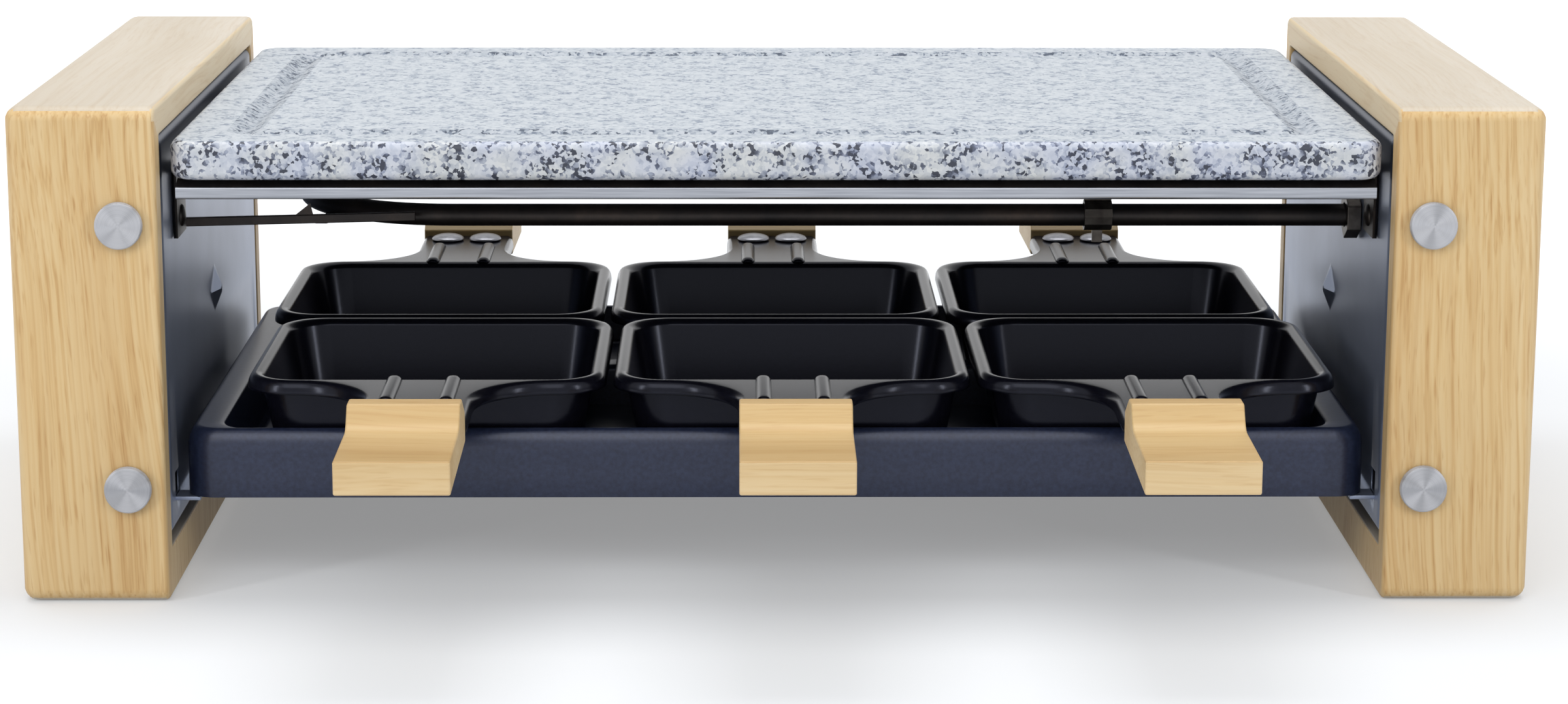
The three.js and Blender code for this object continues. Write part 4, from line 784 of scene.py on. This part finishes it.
def deck_rings():
    """Rounded rectangles up the skirt, over its rounded edge, across the rim, down the slope and
    on to the floor. Past the rounded edge the insets of the ends are wider than those of the long
    sides, so that the ends lean in more gently."""
    turn = np.linspace(0, np.pi / 2, 9)
    floor = DECK_TOP - DECK_SINK
    section = np.concatenate([
        [(0.0, DECK_BOTTOM), (0.0, DECK_BOTTOM + 6)],
        np.stack([DECK_EDGE * (1 - np.cos(turn)), DECK_TOP - DECK_EDGE_HEIGHT * (1 - np.sin(turn))], -1),
        rounded_path([(DECK_EDGE + 0.05, DECK_TOP), (DECK_RIM, DECK_TOP), (DECK_RIM + DECK_SLOPE, floor),
                      (DECK_RIM + DECK_SLOPE + 5, floor)], [1.0, 2.0]),
    ])
    inset, z = section.T
    end_inset = np.interp(inset, (DECK_EDGE, DECK_RIM, DECK_RIM + DECK_SLOPE, 12.0),
                          (DECK_EDGE, 9.5, 15.0, 20.0))
    end_inset = np.where(inset < DECK_EDGE, inset, end_inset)
    radius = np.interp(inset, (0, DECK_EDGE, DECK_RIM + DECK_SLOPE, 12.0), (8.5, 7.0, 14.0, 12.0))
    xy = corner_ring(-DECK_HALF_X + end_inset, DECK_HALF_X - end_inset,
                     -DECK_HALF_Y + inset, DECK_HALF_Y - inset, radius, 8)
    return np.concatenate([xy, np.broadcast_to(z[:, None, None], (*xy.shape[:2], 1))], -1)


rings = deck_rings()
foot = RIDGE_HALF + RIDGE_LEAN
ridge = rounded_path([(-foot, DECK_TOP - DECK_SINK), (-RIDGE_HALF, DECK_TOP), (RIDGE_HALF, DECK_TOP),
                      (foot, DECK_TOP - DECK_SINK)], [2.0, 2.0])
ridge_x = np.linspace(-RIDGE_END, RIDGE_END, 9)
ridge = np.concatenate([np.broadcast_to(ridge_x[:, None, None], (9, len(ridge), 1)),
                        np.broadcast_to(ridge, (9, *ridge.shape))], -1)
faces = skin(rings, first_cap=False) + sheet_grid(*ridge.shape[:2], rings[..., 0].size)[:, ::-1].tolist()
make_piece("deck_pressing", [rings, ridge], faces, [deck_coat], "deck", ["pan_deck"],
           wall=SHEET)


# Pan dishes
# Six dishes are pressed from steel sheet, each with a flange that turns down all round and runs
# out into a ribbed neck. A glossy black non-stick coat covers them.
PAN_PITCH, FRONT_SHIFT, REAR_SHIFT = 103.6, 4.5, 0.7
PAN_HALF, PAN_REAR, PAN_FRONT, PAN_CORNER = 50.8, -0.6, -91.8, 14.0
PAN_RIM, PAN_FLOOR, PAN_LIP = 60.5, 35.7, 3.9
PAN_EDGE, PAN_EDGE_FALL, RIM_WIDTH, RIM_BEND, WALL_LEAN, FLOOR_BEND = 2.0, 3.2, 4.2, 2.3, 11, 4.5
NECK_HALF, NECK_END, NECK_FILLET = 15.3, -136.7, 21.5
RIB_X, RIB_HALF, RIB_HEIGHT, RIB_START, RIB_END, RIB_ROUND = 8.25, 2.3, 1.45, -88.0, -118.2, 2.2

pan_coat, tree, shader = start_material(
    "black_non_stick_coat", {"Roughness": 0.22, "IOR": 1.34, "Specular Tint": linear("d4d9ee")})
# A fluoropolymer coat, sprayed and baked: black and glossy with a cool sheen, and a low IOR.
place = add(tree, "ShaderNodeTexCoord").outputs["Object"]
peel = add(tree, "ShaderNodeTexNoise", {"Vector": place, "Scale": 1100.0, "Detail": 2.0}).outputs["Fac"]
colour = add(tree, "ShaderNodeValToRGB", {"Fac": peel},
             stops=[(0.3, "07070d"), (0.7, "0d0d15")]).outputs["Color"]
tree.links.new(colour, shader.inputs["Base Color"])
relief = add(tree, "ShaderNodeBump", {"Height": peel, "Strength": 0.12, "Distance": 0.00006}).outputs[0]
tree.links.new(relief, shader.inputs["Normal"])


def pan_place(number):
    """The middle of a pan along X, and 1 for the front row or -1 for the rear one."""
    row = 1 if number < 4 else -1
    step = (number - 1) % 3 - 1
    return (FRONT_SHIFT if row > 0 else REAR_SHIFT) + row * step * PAN_PITCH, row


def put_pan(points, number):
    """Moves points from one pan's own place, under X = 0 with its neck towards -Y, to a pan's."""
    centre, row = pan_place(number)
    return points * np.array([row, row, 1.0]) + np.array([centre, 0.0, 0.0])


def pan_ring(inset, z, radius, neck):
    """One level line round a pan, counter-clockwise from the middle of its neck's end. With neck
    it follows the edge, which runs from the corner arc through a hollow arc into the neck.
    Without, the points of the neck lie along the dish's front side."""
    across, hollow = np.pi / 2 * np.linspace(0, 1, 13), np.pi / 2 * np.linspace(0, 1, 14)[:-1]
    side = PAN_HALF - inset
    front, rear = PAN_FRONT + inset, PAN_REAR - inset
    if neck:
        fillet = NECK_FILLET + inset
        hollow_x, hollow_y = NECK_HALF + NECK_FILLET, PAN_FRONT - NECK_FILLET
        half = NECK_HALF - inset
        neck_x = np.concatenate([np.linspace(0, half, 4), np.full(4, half),
                                 hollow_x - fillet * np.cos(hollow)])
        neck_y = np.concatenate([np.full(4, NECK_END), np.linspace(NECK_END, hollow_y, 6)[1:5],
                                 hollow_y + fillet * np.sin(hollow)])
    else:
        neck_x = np.linspace(0, side - radius - 0.3, 21)
        neck_y = np.full(21, front)
    x = np.concatenate([neck_x, side - radius + radius * np.sin(across), np.full(4, side),
                        side - radius + radius * np.cos(across), np.linspace(side - radius, 0, 5)[1:]])
    y = np.concatenate([neck_y, front + radius - radius * np.cos(across),
                        np.linspace(front + radius, rear - radius, 6)[1:5],
                        rear - radius + radius * np.sin(across), np.full(4, rear)])
    x, y = np.concatenate([x, -x[-2:0:-1]]), np.concatenate([y, y[-2:0:-1]])
    return np.stack([x, y, np.full(len(x), z)], -1)


def dish_rings():
    """The lip, the flange with the neck, whose edge is a quarter of an ellipse, and then the walls,
    which lean in by 11 degrees and meet the floor in a 4.5 mm radius."""
    turn = np.linspace(0, np.pi / 2, 5)
    edge = np.stack([PAN_EDGE * (1 - np.cos(turn)), PAN_RIM - PAN_EDGE_FALL * (1 - np.sin(turn))], -1)
    rings = [pan_ring(inset, z, PAN_CORNER - inset, True)
             for inset, z in np.concatenate([[(0.0, PAN_RIM - PAN_LIP)], edge])]
    foot = RIM_WIDTH + (PAN_RIM - PAN_FLOOR) * math.tan(math.radians(WALL_LEAN))
    wall = rounded_path([(PAN_EDGE + 0.2, PAN_RIM), (RIM_WIDTH, PAN_RIM), (foot, PAN_FLOOR),
                         (19.0, PAN_FLOOR)], [RIM_BEND, FLOOR_BEND], 8)
    rings += [pan_ring(inset, z, max(PAN_CORNER - 0.6 * inset, 5.0), False) for inset, z in wall]
    return np.array(rings)


def rib_sheet(side):
    """A pressed rib. Across it the height follows 1 - |u|^3, and at both of its ends the height and
    the width fall off as a quarter circle does."""
    turn = np.linspace(0, np.pi / 2, 7)
    along = np.concatenate([RIB_START - RIB_ROUND * (1 - np.cos(np.linspace(0, np.pi / 2, 6))),
                            np.linspace(RIB_START - 4.0, RIB_END + 4.2, 6),
                            RIB_END + RIB_ROUND * (1 - np.sin(turn))[::-1]])
    along = np.sort(np.unique(np.round(along, 4)))[::-1]
    end = np.clip(np.minimum(RIB_START - along, along - RIB_END) / RIB_ROUND, 0, 1)
    end = np.sqrt(1 - (1 - end) ** 2)
    across = np.linspace(-1, 1, 13)
    height = RIB_HEIGHT * end[:, None] * (1 - np.abs(across) ** 3)[None, :] - 0.05
    width = RIB_HALF * (0.35 + 0.65 * end)
    x = side * RIB_X + width[:, None] * across[None, :]
    return np.stack([x, np.broadcast_to(along[:, None], x.shape), PAN_RIM + height], -1)


for number in range(1, 7):
    rings = put_pan(dish_rings(), number)
    ribs = [put_pan(rib_sheet(side), number) for side in (-1, 1)]
    faces = skin(rings, first_cap=False)
    for rib, start in zip(ribs, starts(ribs, rings[..., 0].size)):
        faces += sheet_grid(*rib.shape[:2], start)[:, ::-1].tolist()
    make_piece(f"pan_{number}_pressing", [rings, *ribs], faces, [pan_coat], f"pan_{number}",
               [f"pan_{number}_dish"], wall=SHEET, crease=50)


# Pan shanks and rivets
# A flat steel bar lies under each neck and runs on as a tongue into the grip. Two rivets with
# wide domed heads hold it to the neck.
SHANK_TOP, SHANK_THICKNESS, SHANK_HALF, TONGUE_HALF, TONGUE_END = 59.0, 1.5, 12.5, 8.0, -182.0
RIVET_Y, RIVET_HALF_PITCH, RIVET_RADIUS, RIVET_SHANK, RIVET_CROWN = -128.6, 6.3, 5.4, 2.0, 1.7

rivet_steel, tree, shader = start_material("bright_rivet_steel", {"Metallic": 1.0, "Roughness": 0.33})
# Cold-headed and tumbled bright, then dulled a little in use.
place = add(tree, "ShaderNodeTexCoord").outputs["Object"]
mottle = add(tree, "ShaderNodeTexNoise", {"Vector": place, "Scale": 500.0, "Detail": 3.0}).outputs["Fac"]
colour = add(tree, "ShaderNodeValToRGB", {"Fac": mottle},
             stops=[(0.3, "74757a"), (0.7, "8b8c92")]).outputs["Color"]
tree.links.new(colour, shader.inputs["Base Color"])

low = SHANK_TOP - SHANK_THICKNESS
parts = [block_rings((-SHANK_HALF, NECK_END, low), (SHANK_HALF, -119.0, SHANK_TOP), 0.3),
         block_rings((-TONGUE_HALF, TONGUE_END, low), (TONGUE_HALF, -130.0, SHANK_TOP), 0.3)]
dome = np.linspace(np.pi / 2, 0.06, 8)
head = np.stack([RIVET_RADIUS * np.sin(dome), 0.3 + RIVET_CROWN * np.cos(dome)], -1)
profile = np.concatenate([[(3.4, -4.7), (3.4, -3.3), (RIVET_SHANK, -3.3), (RIVET_SHANK, 0.0),
                           (RIVET_RADIUS - 0.2, 0.0)], head])
parts += [turned_rings(profile, (side * RIVET_HALF_PITCH, RIVET_Y, PAN_RIM + 0.3), (0, 0, 1), 32)
          for side in (-1, 1)]
for number in range(1, 7):
    make_piece(f"pan_{number}_bar_and_rivets", [put_pan(part, number) for part in parts], skins(parts),
               [rivet_steel], f"pan_{number}", [f"pan_{number}_shank"])


# Each grip is a small wave of rubberwood, shaped across its width so that the grain runs along X,
# and slotted for the tongue. A countersunk screw from below holds it. The wave's upper side is
# painted a darker honey, a painted shade, and the end beside the neck is painted dark brown, a
# painted shade.
GRIP_HALF, GRIP_EDGE, SHADED_END_Y = 15.0, 0.55, 146.0

grip_wood = lacquered_wood("lacquered_wood_across", ALONG_X, "dcc59d", "d5bc91", "c8ab7b", 0.5)
upper_side_shade_wood = lacquered_wood("lacquered_wood_painted_shade_top", ALONG_X, "c6ab7c", "bfa273", "b19363", 0.5)
neck_end_shade_wood = lacquered_wood("lacquered_wood_painted_shade_end", ALONG_X, "8b7850", "7f6c46", "6f5d3c", 0.5)


def grip_rings():
    """The side view as a closed line of corners with small arcs, carried over the width. The
    first and last rings are drawn in along its normals, which rounds the long edges."""
    corners = [(-170.0, 52.9), (-150.0, 53.6), (-137.0, 54.0), (-137.0, 62.5), (-146.2, 68.0),
               (-152.3, 68.0), (-157.0, 61.9), (-189.0, 61.3), (-189.0, 52.3), (-170.0, 52.9)]
    outline = rounded_path(corners, [8.0, 0.6, 0.8, 1.2, 1.2, 6.0, 0.5, 0.6], 7)[:-1]
    along = np.roll(outline, -1, axis=0) - np.roll(outline, 1, axis=0)
    inwards = np.stack([along[:, 1], -along[:, 0]], -1)
    inwards /= np.linalg.norm(inwards, axis=1, keepdims=True)
    middle = outline.mean(axis=0)
    inwards *= np.sign(((middle - outline) * inwards).sum())
    turn = np.linspace(0, np.pi / 2, 5)
    inset = GRIP_EDGE * (1 - np.sin(turn))
    x = -GRIP_HALF + GRIP_EDGE * (1 - np.cos(turn))
    x, inset = np.concatenate([x, -x[::-1]]), np.concatenate([inset, inset[::-1]])
    yz = outline[None] + inset[:, None, None] * inwards[None]
    return np.concatenate([np.broadcast_to(x[:, None, None], (*yz.shape[:2], 1)), yz], -1)


for number in range(1, 7):
    rings = put_pan(grip_rings(), number)
    grip = make_piece(f"pan_{number}_wooden_grip", [rings], skin(rings),
                      [grip_wood, upper_side_shade_wood, neck_end_shade_wood], f"pan_{number}",
                      [f"pan_{number}_grip"])
    # Upward faces take a painted shade, and the faces beside the neck a darker painted shade.
    for face in grip.data.polygons:
        at_neck = abs(face.center.y) < SHADED_END_Y / 1000 and face.normal.y * np.sign(face.center.y) < -0.3
        face.material_index = 2 if at_neck else int(face.normal.z > 0.3)
    dress(f"pan_{number}_grip_screw", rivet_steel, 0.15)


# Floor and light
# The grill stands on a white floor in a plain white studio. One wide soft box hangs over it, a
# little behind, another stands in front, and a narrow one at each side draws the edges of the
# metal. The floor keeps the soft shadow near the grill and turns to plain white further out.
FLOOR_HALF, FLOOR_LEVEL, SHADOW_REACH, WHITE_REACH, NEAR_FILL = 30.0, -0.0001, 0.25, 0.9, 0.27

floor_mesh = bpy.data.meshes.new("studio_floor")
floor_mesh.from_pydata([(x * FLOOR_HALF, y * FLOOR_HALF, FLOOR_LEVEL)
                        for x, y in ((-1, -1), (1, -1), (1, 1), (-1, 1))], [], [(0, 1, 2, 3)])
floor = bpy.data.objects.new("studio_floor", floor_mesh)
bpy.context.collection.objects.link(floor)
floor_paint, tree, shader = start_material(
    "white_studio_floor", {"Base Color": linear("cacdd1"), "Roughness": 0.9, "Specular IOR Level": 0.0,
                           "Emission Color": linear("ffffff")})
sight = add(tree, "ShaderNodeLightPath").outputs
seen = add(tree, "ShaderNodeMath", {0: sight["Is Camera Ray"], 1: sight["Is Glossy Ray"]},
           operation="MAXIMUM").outputs[0]
away = add(tree, "ShaderNodeVectorMath", {0: add(tree, "ShaderNodeTexCoord").outputs["Object"]},
           operation="LENGTH").outputs["Value"]
fill = add(tree, "ShaderNodeMapRange", {"Value": away, "From Min": SHADOW_REACH, "From Max": WHITE_REACH,
                                        "To Min": NEAR_FILL}, interpolation_type="SMOOTHSTEP").outputs[0]
glow = add(tree, "ShaderNodeMath", {0: seen, 1: fill}, operation="MULTIPLY").outputs[0]
tree.links.new(glow, shader.inputs["Emission Strength"])
floor_mesh.materials.append(floor_paint)

world = bpy.data.worlds.new("white_studio")
bpy.context.scene.world = world
world.use_nodes = True
tree = world.node_tree
sight = add(tree, "ShaderNodeLightPath").outputs
seen = add(tree, "ShaderNodeMath", {0: sight["Is Camera Ray"], 1: sight["Is Transmission Ray"]},
           operation="MAXIMUM").outputs[0]
seen = add(tree, "ShaderNodeMath", {0: seen, 1: sight["Is Glossy Ray"]}, operation="MAXIMUM").outputs[0]
strength = add(tree, "ShaderNodeMath", {0: seen, 1: 0.5, 2: 0.5}, operation="MULTIPLY_ADD").outputs[0]
tree.nodes["Background"].inputs["Color"].default_value = (1, 1, 1, 1)
tree.links.new(strength, tree.nodes["Background"].inputs["Strength"])

for name, spot, aim, width, depth, power in (
        ("overhead_soft_box", (0.0, 0.14, 1.35), (0, 0, 0), 1.4, 0.55, 11.0),
        ("front_soft_box", (-0.3, -1.6, 1.25), (0, 0, 0.07), 1.6, 1.1, 12.0),
        ("left_strip_box", (-1.25, -1.1, 0.5), (0, 0, 0.07), 0.16, 0.9, 6.0),
        ("right_strip_box", (1.25, -1.1, 0.5), (0, 0, 0.07), 0.16, 0.9, 6.0)):
    lamp = bpy.data.objects.new(name, bpy.data.lights.new(name, "AREA"))
    bpy.context.collection.objects.link(lamp)
    lamp.data.shape, lamp.data.size, lamp.data.size_y, lamp.data.energy = "RECTANGLE", width, depth, power
    lamp.location = spot
    away = np.array(spot) - np.array(aim)
    lamp.rotation_euler = (math.atan2(math.hypot(away[0], away[1]), away[2]), 0,
                           math.atan2(away[0], -away[1]))

bpy.context.view_layer.update()
